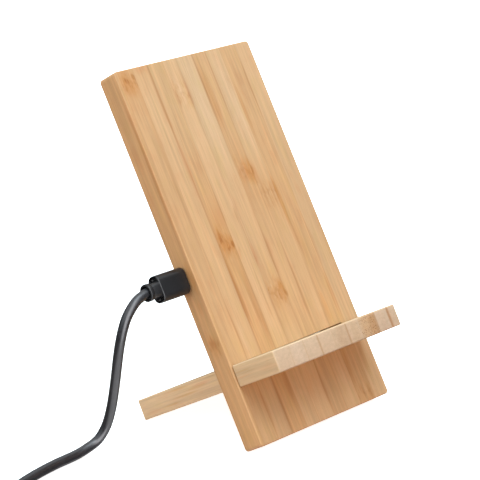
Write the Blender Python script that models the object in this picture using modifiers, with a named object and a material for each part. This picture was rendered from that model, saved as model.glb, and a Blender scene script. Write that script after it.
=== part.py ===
"""Wireless charger stand: a leaning bamboo panel with a charging coil inside,
a T-shaped cross board through its slot, and a charging cable in its side."""

import math

import bmesh
import bpy
from mathutils import Matrix, Vector

MM = 0.001

# ---------------------------------------------------------------- dimensions
# All in millimetres. The panel frame has X across the panel, S up along it and
# D from its back face (0) to its front face (STOCK).

STOCK = 10.0           # thickness of the panel
BOARD_T = 8.7          # thickness of the cross board
PANEL_W = 75.0
PANEL_L = 155.0
EASE = 0.8             # rounding of the boards' edges

SLOT_W = 54.4
SLOT_S0 = 23.9         # lower edge of the slot
SLOT_H = 9.95
SLOT_R = 1.0

SHELF_W = 70.7         # wide front part of the cross board
SHELF_REACH = 24.6     # in front of the panel
TONGUE_W = 50.2
LEG_REACH = 73.2       # from the panel's front face to the leg's end
BOARD_X = -1.8         # the board sits a little to the left in its slot
BOARD_S = 24.4         # underside of the board at mid thickness of the panel
BOARD_DROOP = math.radians(1.3)   # slack of the board in its slot

POCKET_W = 62.0
POCKET_S = (60.0, 128.0)
POCKET_D = 6.2
RECESS_W = 67.6
RECESS_S = (53.0, 135.0)
RECESS_D = 1.3
COVER_GAP = 0.3
COVER_T = 1.0
SCREW_X = 28.5
SCREW_S = (56.6, 131.4)

COIL_S = 104.0
COIL_OD = 44.0
COIL_ID = 20.0
COIL_TURNS = 8
COIL_D = (4.8, 5.9)
FERRITE = 46.0
FERRITE_D = (3.7, 4.5)
FOAM = 40.0
FOAM_D = (1.3, 3.4)

BOARD_PCB = (-30.4, 24.0, 62.0, 79.6)   # x0, x1, s0, s1
PCB_D = (5.1, 5.9)

SOCKET_S = 70.4        # charging socket in the left edge
SOCKET_D = 3.4
SOCKET_W = 7.7
SOCKET_H = 2.8
SOCKET_LEN = 7.4

PLUG_GAP = 0.4         # the moulding stops just short of the panel's edge
PLUG_BODY = (14.5, 6.6, 10.8)    # length, thickness, width
NECK = (3.8, 6.0, 6.4)
COLLAR = (2.1, 6.4, 6.9)
PLUG_SHELL = (10.5, 1.8, 6.8)
SHELL_BASE = -5.6      # its end inside the moulding

CABLE_D = 4.0
LIFT = 0.9             # the tie's strap holds the coil this far off the table
HANK_CENTRE = (-158.0, 26.0)
HANK_RADII = (15.9, 24.1)        # centre lines of the inner and outer turns
HANK_LAYERS = 2
LAYER = 4.05

HANK_TURNS = 5 + 5 / 6           # it comes out of the upper layer, on the right
FAR_PLUG = (-152.0, -18.0, 4.0)  # where the cable enters the other plug
FAR_BOOT = 9.0
FAR_BODY = (21.0, 16.0, 8.0)
FAR_SHELL = (12.0, 12.0, 4.5)

# ------------------------------------------------------- pose of the stand
# The panel's lower back edge and the leg's lower end edge both touch the
# table, which fixes how far the panel leans.

mid_d = STOCK / 2
back_run = LEG_REACH - mid_d
foot_s = BOARD_S + back_run * math.sin(BOARD_DROOP)
foot_d = mid_d - back_run * math.cos(BOARD_DROOP)
LEAN = math.atan2(foot_s, -foot_d)

UP = Vector((0, math.sin(LEAN), math.cos(LEAN)))       # along the panel
OUT = Vector((0, -math.cos(LEAN), math.sin(LEAN)))     # out of its front face
FORWARD = OUT * math.cos(BOARD_DROOP) - UP * math.sin(BOARD_DROOP)
ABOVE = UP * math.cos(BOARD_DROOP) + OUT * math.sin(BOARD_DROOP)

board_origin = UP * BOARD_S + OUT * mid_d
front_edge = board_origin + FORWARD * (mid_d + SHELF_REACH - EASE) + ABOVE * EASE
rear_edge = board_origin - FORWARD * (back_run - EASE) + ABOVE * (BOARD_T - EASE)
CENTRE_Y = (front_edge.y - EASE + rear_edge.y + EASE) / 2
# A rounded edge touches the table a little above where the sharp one would.
TOUCH = EASE * (math.cos(LEAN) + math.sin(LEAN) - 0.993)

# ------------------------------------------------------------------ helpers

for old in list(bpy.data.objects):
    bpy.data.objects.remove(old, do_unlink=True)

scene = bpy.context.scene
PARTS = bpy.data.collections.new("wireless_charger_stand")
CUTTERS = bpy.data.collections.new("cutters")
scene.collection.children.link(PARTS)
scene.collection.children.link(CUTTERS)
CUTTERS.hide_render = True


def material(name, colour, roughness, metallic=0.0):
    mat = bpy.data.materials.new(name)
    mat.use_nodes = True
    shader = mat.node_tree.nodes["Principled BSDF"]
    shader.inputs["Base Color"].default_value = (*colour, 1.0)
    shader.inputs["Roughness"].default_value = roughness
    shader.inputs["Metallic"].default_value = metallic
    mat.diffuse_color = (*colour, 1.0)
    return mat


BAMBOO = material("bamboo", (0.72, 0.47, 0.23), 0.55)
BAMBOO_PALE = material("bamboo_pale", (0.74, 0.52, 0.30), 0.6)
BLACK = material("black_moulding", (0.02, 0.02, 0.022), 0.45)
STEEL = material("plated_steel", (0.75, 0.75, 0.76), 0.25, 1.0)
PCB_GREEN = material("board_green", (0.03, 0.18, 0.07), 0.5)
CHIP = material("chip_black", (0.03, 0.03, 0.03), 0.4)
CERAMIC = material("capacitor_tan", (0.5, 0.36, 0.2), 0.5)
COPPER = material("copper_wire", (0.72, 0.35, 0.16), 0.35, 1.0)
FERRITE_GREY = material("ferrite_grey", (0.08, 0.08, 0.085), 0.6)
FOAM_BLACK = material("foam_black", (0.05, 0.05, 0.05), 0.9)


def empty(name, parent=None, location=(0, 0, 0), rotation=(0, 0, 0)):
    obj = bpy.data.objects.new(name, None)
    PARTS.objects.link(obj)
    obj.empty_display_size = 0.01
    obj.parent = parent
    obj.location = Vector(location) * MM
    obj.rotation_euler = rotation
    return obj


def place(obj, mat, parent=None, location=(0, 0, 0), rotation=(0, 0, 0), cutter=False):
    (CUTTERS if cutter else PARTS).objects.link(obj)
    if cutter:
        obj.hide_render = True
        obj.display_type = "WIRE"
    else:
        obj.data.materials.append(mat)
    obj.parent = parent
    obj.location = Vector(location) * MM
    obj.rotation_euler = rotation
    return obj


def block(name, size, mat=None, along=None, radius=0.0, segments=4, **where):
    """A box of this size about its origin; the four edges along one axis can be rounded."""
    bm = bmesh.new()
    bmesh.ops.create_cube(bm, size=1.0)
    bmesh.ops.transform(bm, matrix=Matrix.Diagonal((*[v * MM for v in size], 1)), verts=bm.verts)
    if along is not None:
        edges = [
            e
            for e in bm.edges
            if abs((e.verts[1].co - e.verts[0].co).normalized()[along]) > 0.9
        ]
        bmesh.ops.bevel(
            bm, geom=edges, offset=radius * MM, segments=segments, profile=0.5, affect="EDGES"
        )
    mesh = bpy.data.meshes.new(name)
    bm.to_mesh(mesh)
    bm.free()
    return place(bpy.data.objects.new(name, mesh), mat, **where)


def turned(name, profile, mat=None, steps=32, closed=False, **where):
    """A profile of (radius, height) turned about its Z axis, outer side from top to bottom."""
    bm = bmesh.new()
    verts = [bm.verts.new((r * MM, 0, z * MM)) for r, z in profile]
    for a, b in zip(verts, verts[1:]):
        bm.edges.new((a, b))
    if closed:
        bm.edges.new((verts[-1], verts[0]))
    mesh = bpy.data.meshes.new(name)
    bm.to_mesh(mesh)
    bm.free()
    obj = place(bpy.data.objects.new(name, mesh), mat, **where)
    screw = obj.modifiers.new("turn", "SCREW")
    screw.axis = "Z"
    screw.steps = screw.render_steps = steps
    screw.use_merge_vertices = True
    screw.merge_threshold = 0.00001
    screw.use_normal_calculate = True
    return obj


def outline(name, points, thickness, mat=None, **where):
    """A flat outline in XY, extruded to this thickness about its plane, as a welded mesh."""
    curve = bpy.data.curves.new(name + "_outline", "CURVE")
    curve.dimensions = "2D"
    curve.fill_mode = "BOTH"
    curve.extrude = thickness / 2 * MM
    spline = curve.splines.new("POLY")
    spline.points.add(len(points) - 1)
    for point, (x, y) in zip(spline.points, points):
        point.co = (x * MM, y * MM, 0, 1)
    spline.use_cyclic_u = True
    holder = bpy.data.objects.new(name + "_outline", curve)
    PARTS.objects.link(holder)
    bpy.context.view_layer.update()
    mesh = bpy.data.meshes.new_from_object(
        holder.evaluated_get(bpy.context.evaluated_depsgraph_get())
    )
    bpy.data.objects.remove(holder, do_unlink=True)
    bm = bmesh.new()
    bm.from_mesh(mesh)
    bmesh.ops.remove_doubles(bm, verts=bm.verts, dist=1e-6)
    bmesh.ops.dissolve_limit(bm, angle_limit=0.01, verts=bm.verts, edges=bm.edges)
    bm.to_mesh(mesh)
    bm.free()
    mesh.name = name
    mesh.materials.clear()
    return place(bpy.data.objects.new(name, mesh), mat, **where)


def soften(obj, width, segments=2):
    bevel = obj.modifiers.new("eased_edges", "BEVEL")
    bevel.width = width * MM
    bevel.segments = segments
    bevel.limit_method = "ANGLE"
    bevel.angle_limit = math.radians(40)
    return obj


def cut(obj, *cutters):
    for cutter in cutters:
        boolean = obj.modifiers.new("cut_" + cutter.name, "BOOLEAN")
        boolean.operation = "DIFFERENCE"
        boolean.solver = "EXACT"
        boolean.object = cutter
    return obj


def join(obj, *others):
    for other in others:
        boolean = obj.modifiers.new("join_" + other.name, "BOOLEAN")
        boolean.operation = "UNION"
        boolean.solver = "EXACT"
        boolean.object = other
    return obj


def smooth(obj, degrees=35):
    if obj.type == "MESH":
        for polygon in obj.data.polygons:
            polygon.use_smooth = True
        obj.data.set_sharp_from_angle(angle=math.radians(degrees))
    return obj


def catmull(points, per_span=24):
    """A smooth curve through the points."""
    ends = [2 * points[0] - points[1]] + list(points) + [2 * points[-1] - points[-2]]
    out = []
    for i in range(1, len(ends) - 2):
        p0, p1, p2, p3 = ends[i - 1 : i + 3]
        for k in range(per_span):
            t = k / per_span
            out.append(
                0.5
                * (
                    2 * p1
                    + (p2 - p0) * t
                    + (2 * p0 - 5 * p1 + 4 * p2 - p3) * t * t
                    + (3 * p1 - p0 - 3 * p2 + p3) * t**3
                )
            )
    out.append(points[-1])
    return out


def even(points, step):
    """The same curve with points a fixed distance apart."""
    lengths = [0.0]
    for a, b in zip(points, points[1:]):
        lengths.append(lengths[-1] + (b - a).length)
    count = max(2, round(lengths[-1] / step))
    out, at = [], 0
    for k in range(count + 1):
        want = lengths[-1] * k / count
        while at < len(points) - 2 and lengths[at + 1] < want:
            at += 1
        span = lengths[at + 1] - lengths[at]
        out.append(points[at].lerp(points[at + 1], (want - lengths[at]) / span))
    return out


def wire(name, points, diameter, mat, parent=None):
    """A round wire or cable along these points, with flat capped ends."""
    curve = bpy.data.curves.new(name, "CURVE")
    curve.dimensions = "3D"
    curve.bevel_depth = diameter / 2 * MM
    curve.bevel_resolution = 2
    curve.use_fill_caps = True
    spline = curve.splines.new("POLY")
    spline.points.add(len(points) - 1)
    for point, co in zip(spline.points, points):
        point.co = (co.x * MM, co.y * MM, co.z * MM, 1)
    return place(bpy.data.objects.new(name, curve), mat, parent=parent)


def mid(pair):
    return (pair[0] + pair[1]) / 2


# ------------------------------------------------------------------- frames

stand_pose = empty("stand_pose", None, (0, -CENTRE_Y, -TOUCH), (-LEAN, 0, 0))
board_slide = empty(
    "board_slide", stand_pose, (BOARD_X, -mid_d, BOARD_S), (BOARD_DROOP, 0, 0)
)
plug_axis = empty("plug_axis", stand_pose, (-PANEL_W / 2, -SOCKET_D, SOCKET_S))

# ------------------------------------------------------------- bamboo panel

panel = block(
    "front_panel",
    (PANEL_W, STOCK, PANEL_L),
    BAMBOO,
    parent=stand_pose,
    location=(0, -mid_d, PANEL_L / 2),
)
soften(panel, EASE, 3)

slot = block(
    "slot_cutter",
    (SLOT_W, STOCK * 3, SLOT_H),
    along=1,
    radius=SLOT_R,
    segments=3,
    cutter=True,
    parent=stand_pose,
    location=(0, -mid_d, SLOT_S0 + SLOT_H / 2),
)
recess = block(
    "recess_cutter",
    (RECESS_W, RECESS_D * 2, RECESS_S[1] - RECESS_S[0]),
    along=1,
    radius=5.0,
    cutter=True,
    parent=stand_pose,
    location=(0, 0, mid(RECESS_S)),
)
pocket = block(
    "pocket_cutter",
    (POCKET_W, POCKET_D * 2, POCKET_S[1] - POCKET_S[0]),
    along=1,
    radius=3.0,
    cutter=True,
    parent=stand_pose,
    location=(0, 0, mid(POCKET_S)),
)
inlet = block(
    "inlet_cutter",
    (20.0, SOCKET_H + 0.6, SOCKET_W + 0.6),
    along=0,
    radius=0.8,
    segments=3,
    cutter=True,
    parent=stand_pose,
    location=(-PANEL_W / 2, -SOCKET_D, SOCKET_S),
)
cut(panel, slot, recess, pocket, inlet)

cover = block(
    "back_cover",
    (RECESS_W - 2 * COVER_GAP, COVER_T, RECESS_S[1] - RECESS_S[0] - 2 * COVER_GAP),
    BAMBOO_PALE,
    along=1,
    radius=4.7,
    parent=stand_pose,
    location=(0, -COVER_T / 2, mid(RECESS_S)),
)

# A countersunk screw of 6 mm: its axis is its own Z, head up.
screw_profile = [
    (0, 0),
    (1.75, 0),
    (1.75, -0.15),
    (1.0, -0.95),
    (1.0, -4.4),
    (0.35, -5.0),
    (0, -5.0),
]
hole_profile = [(0, 1.0), (2.1, 1.0), (2.1, -0.25), (1.32, -1.05), (1.32, -5.6), (0, -5.6)]

number = 0
for sign_x in (-1, 1):
    for s in SCREW_S:
        number += 1
        spot = (sign_x * SCREW_X, -0.12, s)
        hole = turned(
            f"screw_hole_{number}",
            hole_profile,
            steps=20,
            cutter=True,
            parent=stand_pose,
            location=spot,
            rotation=(-math.pi / 2, 0, 0),
        )
        cut(panel, hole)
        cut(cover, hole)
        screw = turned(
            f"cover_screw_{number}",
            screw_profile,
            STEEL,
            steps=20,
            parent=stand_pose,
            location=spot,
            rotation=(-math.pi / 2, 0, 0),
        )
        for turn_by in (0, math.pi / 2):
            drive = block(
                f"drive_{number}_{round(turn_by)}",
                (2.0, 0.42, 1.1),
                cutter=True,
                parent=screw,
                rotation=(0, 0, turn_by),
            )
            cut(screw, drive)

# -------------------------------------------------------------- cross board
# T-shaped in plan: the shoulders stop against the panel's front face. Its own
# Y runs out to the front, so a point's second number is how far forward it is.

front_y = mid_d + SHELF_REACH
shoulder_y = mid_d + 0.4
rear_y = -back_run
half_s, half_t = SHELF_W / 2, TONGUE_W / 2
stand_board = outline(
    "stand_board",
    [
        (-half_s, -front_y),
        (half_s, -front_y),
        (half_s, -shoulder_y),
        (half_t, -shoulder_y),
        (half_t, -rear_y),
        (-half_t, -rear_y),
        (-half_t, -shoulder_y),
        (-half_s, -shoulder_y),
    ],
    BOARD_T,
    BAMBOO,
    parent=board_slide,
    location=(0, 0, BOARD_T / 2),
)
soften(stand_board, EASE, 3)

# ---------------------------------------------------------- charger, inside


def chip(name, x, s, size, mat=CHIP, ease=0.15):
    """A component on the back side of the circuit board; size is along X, S and D."""
    obj = block(
        name,
        (size[0], size[2], size[1]),
        mat,
        parent=stand_pose,
        location=(x, -(PCB_D[0] - 0.3 - size[2] / 2), s),
    )
    return soften(obj, ease, 1)


x0, x1, s0, s1 = BOARD_PCB
block(
    "circuit_board",
    (x1 - x0, PCB_D[1] - PCB_D[0], s1 - s0),
    PCB_GREEN,
    along=1,
    radius=0.8,
    segments=2,
    parent=stand_pose,
    location=((x0 + x1) / 2, -mid(PCB_D), (s0 + s1) / 2),
)
chip("controller_chip", -12.5, 71.5, (5.0, 5.0, 0.9))
chip("driver_chip_1", -2.5, 74.6, (4.0, 4.9, 1.1))
chip("driver_chip_2", -2.5, 67.2, (4.0, 4.9, 1.1))
chip("filter_inductor", -20.6, 66.2, (4.2, 4.2, 2.1), FERRITE_GREY, 0.5)
chip("input_capacitor_1", -20.6, 72.4, (3.2, 2.5, 1.6), CERAMIC)
chip("input_capacitor_2", -20.6, 76.6, (3.2, 2.5, 1.6), CERAMIC)
for k in range(4):
    chip(f"resonance_capacitor_{k + 1}", 8.6 + 4.2 * (k % 2), 66.5 + 4.4 * (k // 2), (3.2, 2.6, 1.7), CERAMIC)
chip("thermistor", 19.5, 77.6, (1.6, 0.9, 0.8), CERAMIC, 0.1)

# The coil's wires lie side by side in a flat spiral, so its faces are ribbed.
rib = (COIL_OD - COIL_ID) / 2 / COIL_TURNS
half_d = (COIL_D[1] - COIL_D[0]) / 2
ring = []
for k in range(COIL_TURNS):
    outer = COIL_OD / 2 - k * rib
    ring += [(outer - 0.12, half_d - 0.22), (outer - rib / 2, half_d)]
ring.append((COIL_ID / 2 + 0.05, half_d - 0.3))
ring.append((COIL_ID / 2 + 0.05, -half_d))
ring.append((COIL_OD / 2 - 0.12, -half_d))
turned(
    "charging_coil",
    list(reversed(ring)),
    COPPER,
    steps=48,
    closed=True,
    parent=stand_pose,
    location=(0, -mid(COIL_D), COIL_S),
    rotation=(math.pi / 2, 0, 0),
)
for k, side in enumerate((-1, 1)):
    top = Vector((side * 2.6, -5.3, COIL_S - COIL_OD / 2 - 0.35))
    lead = [
        top,
        top + Vector((side * 0.4, 0.35, -0.7)),
        top + Vector((side * 1.0, 1.15, -1.5)),
        top + Vector((side * 1.8, 1.45, -2.8)),
        top + Vector((side * 3.0, 1.45, -5.0)),
        top + Vector((side * 3.6, 1.45, -7.0)),
    ]
    wire(f"coil_lead_{k + 1}", lead, 0.9, COPPER, stand_pose)

block(
    "ferrite_sheet",
    (FERRITE, FERRITE_D[1] - FERRITE_D[0], FERRITE - 2.6),
    FERRITE_GREY,
    along=1,
    radius=4.0,
    parent=stand_pose,
    location=(0, -mid(FERRITE_D), COIL_S + 1.3),
)
block(
    "foam_pad",
    (FOAM, FOAM_D[1] - FOAM_D[0], FOAM),
    FOAM_BLACK,
    along=1,
    radius=3.0,
    parent=stand_pose,
    location=(0, -mid(FOAM_D), COIL_S + 1.3),
)

# ------------------------------------------------------------ charging socket
# Its mouth is 0.4 mm inside the panel's edge; the shell is open to the left.

socket_x = -PANEL_W / 2 + 0.4 + SOCKET_LEN / 2
socket_shell = block(
    "usb_socket_shell",
    (SOCKET_LEN, SOCKET_H, SOCKET_W),
    STEEL,
    along=0,
    radius=0.7,
    segments=3,
    parent=stand_pose,
    location=(socket_x, -SOCKET_D, SOCKET_S),
)
socket_void = block(
    "socket_void",
    (SOCKET_LEN, SOCKET_H - 0.6, SOCKET_W - 0.6),
    along=0,
    radius=0.5,
    segments=3,
    cutter=True,
    parent=stand_pose,
    location=(socket_x - 0.4, -SOCKET_D, SOCKET_S),
)
cut(socket_shell, socket_void)
void_end = socket_x - 0.4 + SOCKET_LEN / 2
tongue_back = block(
    "usb_socket_tongue",
    (1.3, SOCKET_H - 0.9, SOCKET_W - 0.9),
    CHIP,
    along=0,
    radius=0.35,
    segments=2,
    parent=stand_pose,
    location=(void_end - 0.15 - 0.65, -SOCKET_D, SOCKET_S),
)
tongue_blade = block(
    "tongue_blade",
    (4.6, 0.6, 4.4),
    cutter=True,
    parent=stand_pose,
    location=(void_end - 0.15 - 1.0 - 2.3, -SOCKET_D, SOCKET_S),
)
join(tongue_back, tongue_blade)

# --------------------------------------------------- plug in the charging socket
# Drawn about the plug axis: its own -X is the way it pulls out.

bl, bt, bw = PLUG_BODY
nl, nt, nw = NECK
cl, ct, cw = COLLAR
end_x = -PLUG_GAP - bl
plug_housing = block(
    "plug_housing",
    (bl, bt, bw),
    BLACK,
    along=0,
    radius=1.9,
    segments=4,
    parent=plug_axis,
    location=(-PLUG_GAP - bl / 2, 0, 0),
)
soften(plug_housing, 0.5, 2)
plug_neck = block(
    "plug_neck",
    (nl + 1.0, nt, nw),
    along=0,
    radius=1.7,
    segments=3,
    cutter=True,
    parent=plug_axis,
    location=(end_x - nl / 2 + 0.5, 0, 0),
)
plug_collar = block(
    "plug_collar",
    (cl, ct, cw),
    along=0,
    radius=2.3,
    segments=4,
    cutter=True,
    parent=plug_axis,
    location=(end_x - nl - cl / 2 + 0.4, 0, 0),
)
soften(plug_collar, 0.4, 1)
join(plug_housing, plug_neck, plug_collar)
sl, st, sw = PLUG_SHELL
shell_base = SHELL_BASE
shell_seat = block(
    "shell_seat",
    ((-PLUG_GAP - shell_base + 0.3) * 2, st + 0.6, sw + 0.6),
    cutter=True,
    parent=plug_axis,
    location=(-PLUG_GAP, 0, 0),
)
cut(plug_housing, shell_seat)
collar_end = end_x - nl - cl + 0.4

plug_shell = block(
    "plug_shell",
    (sl, st, sw),
    STEEL,
    along=0,
    radius=0.5,
    segments=3,
    parent=plug_axis,
    location=(shell_base + sl / 2, 0, 0),
)
shell_void = block(
    "shell_void",
    (sl * 2, st - 0.5, sw - 0.5),
    along=0,
    radius=0.3,
    segments=2,
    cutter=True,
    parent=plug_axis,
    location=(shell_base + sl, 0, 0),
)
cut(plug_shell, shell_void)
block(
    "plug_insert",
    (4.4, st - 0.7, sw - 0.7),
    CHIP,
    parent=plug_axis,
    location=(shell_base + 0.2 + 2.2, 0, 0),
)

# ------------------------------------------------------------- charging cable
# It leaves the collar, drops to the table and runs along it to the left, to
# the coil in which the rest of its length is put away.

bpy.context.view_layer.update()
to_world = plug_axis.matrix_world
leave = to_world @ (Vector((collar_end - 0.3, 0, 0)) * MM) / MM
REST = CABLE_D / 2 + 0.05

route = [
    leave,
    leave + Vector((-5.0, 0.2, -1.96)),
    leave + Vector((-9.2, 1.0, -6.25)),
    leave + Vector((-10.9, 2.5, -11.1)),
    leave + Vector((-11.05, 5.5, -18.0)),
    leave + Vector((-9.8, 9.5, -25.6)),
    leave + Vector((-8.05, 13.5, -32.4)),
    leave + Vector((-5.6, 19.0, -41.0)),
    leave + Vector((-3.9, 24.0, -49.0)),
    leave + Vector((-3.6, 28.3, -56.0)),
    leave + Vector((-6.2, 31.0, -61.0)),
    Vector((leave.x - 11.6, leave.y + 32.2, REST + 0.9)),
    Vector((leave.x - 18.0, leave.y + 32.3, REST)),
    Vector((leave.x - 30.6, leave.y + 31.1, REST)),
    Vector((leave.x - 46.3, leave.y + 27.5, REST)),
    Vector((leave.x - 63.6, leave.y + 21.0, REST)),
]
hank = Vector((*HANK_CENTRE, 0))
r_in, r_out = HANK_RADII
outer_edge = r_out + CABLE_D / 2 + 0.1
# The cable meets the coil's outer turn along the tangent from the route's end.
near = hank - route[-1]
near.z = 0
swing = math.asin(r_out / near.length)
heading = math.atan2(near.y, near.x) + swing
reach = near.length * math.cos(swing)
way = Vector((math.cos(heading), math.sin(heading), 0))
entry = route[-1] + way * reach
entry.z = LIFT + CABLE_D / 2
halfway = route[-1] + way * (reach / 2)
halfway.z = REST + 0.3
path = catmull(route + [halfway, entry])
clear = outer_edge + CABLE_D / 2 + 0.3
run = [p for p in path if (Vector((p.x, p.y, 0)) - hank).length > clear]
# Straight out of the collar, close points round the first bend, then wider ones.
bend = [p for p in run if p.x > leave.x - 7.0 and p.z > leave.z - 10.0]
rest = run[len(bend) - 1 :]
stub = [leave, leave + Vector((-1.0, 0, 0))]
wire("cable_run", stub + even(bend, 3.5)[1:] + even(rest, 8.0)[1:], CABLE_D, BLACK)

hank_top = LIFT + CABLE_D + (HANK_LAYERS - 1) * LAYER
inner_edge = r_in - CABLE_D / 2 - 0.1
turned(
    "cable_coil",
    [
        (inner_edge, LIFT + 1.0),
        (inner_edge, hank_top - 1.0),
        (inner_edge + 1.0, hank_top),
        (outer_edge - 1.0, hank_top),
        (outer_edge, hank_top - 1.0),
        (outer_edge, LIFT + 1.0),
        (outer_edge - 1.0, LIFT),
        (inner_edge + 1.0, LIFT),
    ],
    BLACK,
    steps=48,
    closed=True,
    location=tuple(hank),
)

tie_out = outer_edge + 0.9
tie_in = inner_edge - 1.4
tie = block(
    "cable_tie",
    (tie_out - tie_in, 7.0, hank_top + 0.9),
    BLACK,
    along=1,
    radius=1.2,
    segments=3,
    location=(hank.x - (tie_out + tie_in) / 2, hank.y, (hank_top + 0.9) / 2),
)
tie_void = block(
    "tie_void",
    (tie_out - tie_in - 1.2, 12.0, hank_top - 0.3),
    along=1,
    radius=0.6,
    segments=2,
    cutter=True,
    location=(hank.x - (tie_out + tie_in) / 2, hank.y, (hank_top + 0.9) / 2),
)
cut(tie, tie_void)

far = Vector(FAR_PLUG)
out_angle = heading + math.pi / 2 - HANK_TURNS * math.tau
across = Vector((math.cos(out_angle), math.sin(out_angle), 0))
onward = Vector((math.sin(out_angle), -math.cos(out_angle), 0))
leave_hank = hank + across * r_out
leave_hank.z = LIFT + CABLE_D / 2 + LAYER
# It stays high over its own incoming stretch, then comes down and turns to the plug.
tail_route = [
    leave_hank,
    leave_hank + onward * 8.0 + Vector((0, 0, -0.05)),
    leave_hank + onward * 15.0 + Vector((0, 0, -0.35)),
    leave_hank + onward * 23.0 + Vector((0.1, 0, -2.0)),
    Vector((leave_hank.x + 0.2, far.y + 13.0, REST + 0.6)),
    Vector((leave_hank.x - 2.6, far.y + 5.6, REST)),
    Vector((leave_hank.x - 9.0, far.y + 0.7, REST + 0.2)),
    far + Vector((5.0, 0, -0.5)),
    far + Vector((0.3, 0, 0)),
]
tail = catmull(tail_route)
tail = [p for p in tail if (Vector((p.x, p.y, 0)) - hank).length > clear]
wire("cable_tail", even(tail, 7.0), CABLE_D, BLACK)

# -------------------------------------------------------- plug on the far end
# It lies on the table. Its own +X runs from the cable to its mouth, on the left.

far_axis = empty("far_plug_axis", None, tuple(far), (0, 0, math.pi))
fl, fw, fh = FAR_BODY
ml, mw, mh = FAR_SHELL
far_housing = block(
    "far_plug_housing",
    (fl, fw, fh),
    BLACK,
    along=0,
    radius=2.2,
    segments=4,
    parent=far_axis,
    location=(FAR_BOOT + fl / 2, 0, 0),
)
soften(far_housing, 0.6, 2)
far_boot = turned(
    "far_boot",
    [(0, FAR_BOOT + 1.0), (3.6, FAR_BOOT + 1.0), (3.5, FAR_BOOT * 0.6), (2.6, 0), (0, 0)],
    steps=24,
    cutter=True,
    parent=far_axis,
    rotation=(0, math.pi / 2, 0),
)
join(far_housing, far_boot)
far_end = FAR_BOOT + fl
far_seat = block(
    "far_seat",
    (10.0, mw + 0.6, mh + 0.6),
    cutter=True,
    parent=far_axis,
    location=(far_end, 0, 0),
)
cut(far_housing, far_seat)
far_shell = block(
    "far_plug_shell",
    (ml + 4.6, mw, mh),
    STEEL,
    along=0,
    radius=0.5,
    segments=2,
    parent=far_axis,
    location=(far_end - 4.6 + (ml + 4.6) / 2, 0, 0),
)
far_void = block(
    "far_void",
    ((ml + 4.6) * 2, mw - 0.7, mh - 0.7),
    along=0,
    radius=0.3,
    segments=2,
    cutter=True,
    parent=far_axis,
    location=(far_end - 4.6 + (ml + 4.6), 0, 0),
)
for k, y in enumerate((-2.6, 2.6)):
    window = block(
        f"far_window_{k}",
        (2.2, 2.2, 3.0),
        cutter=True,
        parent=far_axis,
        location=(far_end + 6.4, y, mh / 2),
    )
    cut(far_shell, window)
cut(far_shell, far_void)
# An L-shaped plastic block fills the shell's base and half of its mouth.
far_insert = block(
    "far_plug_insert",
    (3.6, mw - 1.3, mh - 1.3),
    CHIP,
    parent=far_axis,
    location=(far_end - 4.3 + 1.8, 0, 0),
)
far_blade = block(
    "far_blade",
    (ml + 2.0, mw - 1.3, 1.3),
    cutter=True,
    parent=far_axis,
    location=(far_end - 2.6 + (ml + 2.0) / 2, 0, -(mh - 1.3) / 2 + 0.65),
)
join(far_insert, far_blade)

for obj in PARTS.objects:
    smooth(obj)
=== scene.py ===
"""The looks of the wireless charger stand: a bamboo panel that leans on a cross
board pushed through its slot, with a charging cable in its left edge."""

import math

import bmesh
import bpy
from mathutils import Matrix, Vector


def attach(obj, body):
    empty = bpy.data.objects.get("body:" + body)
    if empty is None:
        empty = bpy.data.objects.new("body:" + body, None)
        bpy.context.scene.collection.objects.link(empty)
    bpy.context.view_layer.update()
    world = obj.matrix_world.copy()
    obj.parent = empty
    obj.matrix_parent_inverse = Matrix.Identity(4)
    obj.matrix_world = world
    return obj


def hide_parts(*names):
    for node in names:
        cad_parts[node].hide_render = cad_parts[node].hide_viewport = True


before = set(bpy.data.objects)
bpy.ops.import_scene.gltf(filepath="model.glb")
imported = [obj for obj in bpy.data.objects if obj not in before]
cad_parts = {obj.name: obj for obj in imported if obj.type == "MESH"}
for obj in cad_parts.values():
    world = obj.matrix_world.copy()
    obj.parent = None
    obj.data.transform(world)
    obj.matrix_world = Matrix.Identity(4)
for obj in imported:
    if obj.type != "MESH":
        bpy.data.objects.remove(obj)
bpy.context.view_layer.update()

MM = 0.001
TAU = math.tau

# ------------------------------------------------------------------- frames
# The same driving dimensions as the model's, in millimetres.

STOCK = 10.0
BOARD_T = 8.7
PANEL_W = 75.0
PANEL_L = 155.0
SLOT_W = 54.4
SLOT_S0 = 23.9
SLOT_H = 9.95
SHELF_W = 70.7
SHELF_REACH = 24.6
TONGUE_W = 50.2
LEG_REACH = 73.2
BOARD_X = -1.8
BOARD_S = 24.4
BOARD_DROOP = math.radians(1.3)
EASE = 0.8
POCKET_W = 62.0
POCKET_S = (60.0, 128.0)
POCKET_D = 6.2
RECESS_W = 67.6
RECESS_S = (53.0, 135.0)
RECESS_D = 1.3
COVER_GAP = 0.3
COVER_T = 1.0
SCREW_X = 28.5
SCREW_S = (56.6, 131.4)
COIL_S = 104.0
COIL_OD = 44.0
COIL_ID = 20.0
COIL_TURNS = 8
COIL_D = (4.8, 5.9)
SOCKET_S = 70.4
SOCKET_D = 3.4
SOCKET_W = 7.7
SOCKET_H = 2.8
SOCKET_LEN = 7.4
PLUG_GAP = 0.4
PLUG_BODY = (14.5, 6.6, 10.8)
NECK = (3.8, 6.0, 6.4)
COLLAR = (2.1, 6.4, 6.9)
PLUG_SHELL = (10.5, 1.8, 6.8)
SHELL_BASE = -5.6
CABLE_D = 4.0
LIFT = 0.9
HANK_CENTRE = (-158.0, 26.0)
HANK_RADII = (15.9, 24.1)
LAYER = 4.05
HANK_TURNS = 5 + 5 / 6
FAR_PLUG = (-152.0, -18.0, 4.0)
FAR_BOOT = 9.0
FAR_BODY = (21.0, 16.0, 8.0)
FAR_SHELL = (12.0, 12.0, 4.5)

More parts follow.
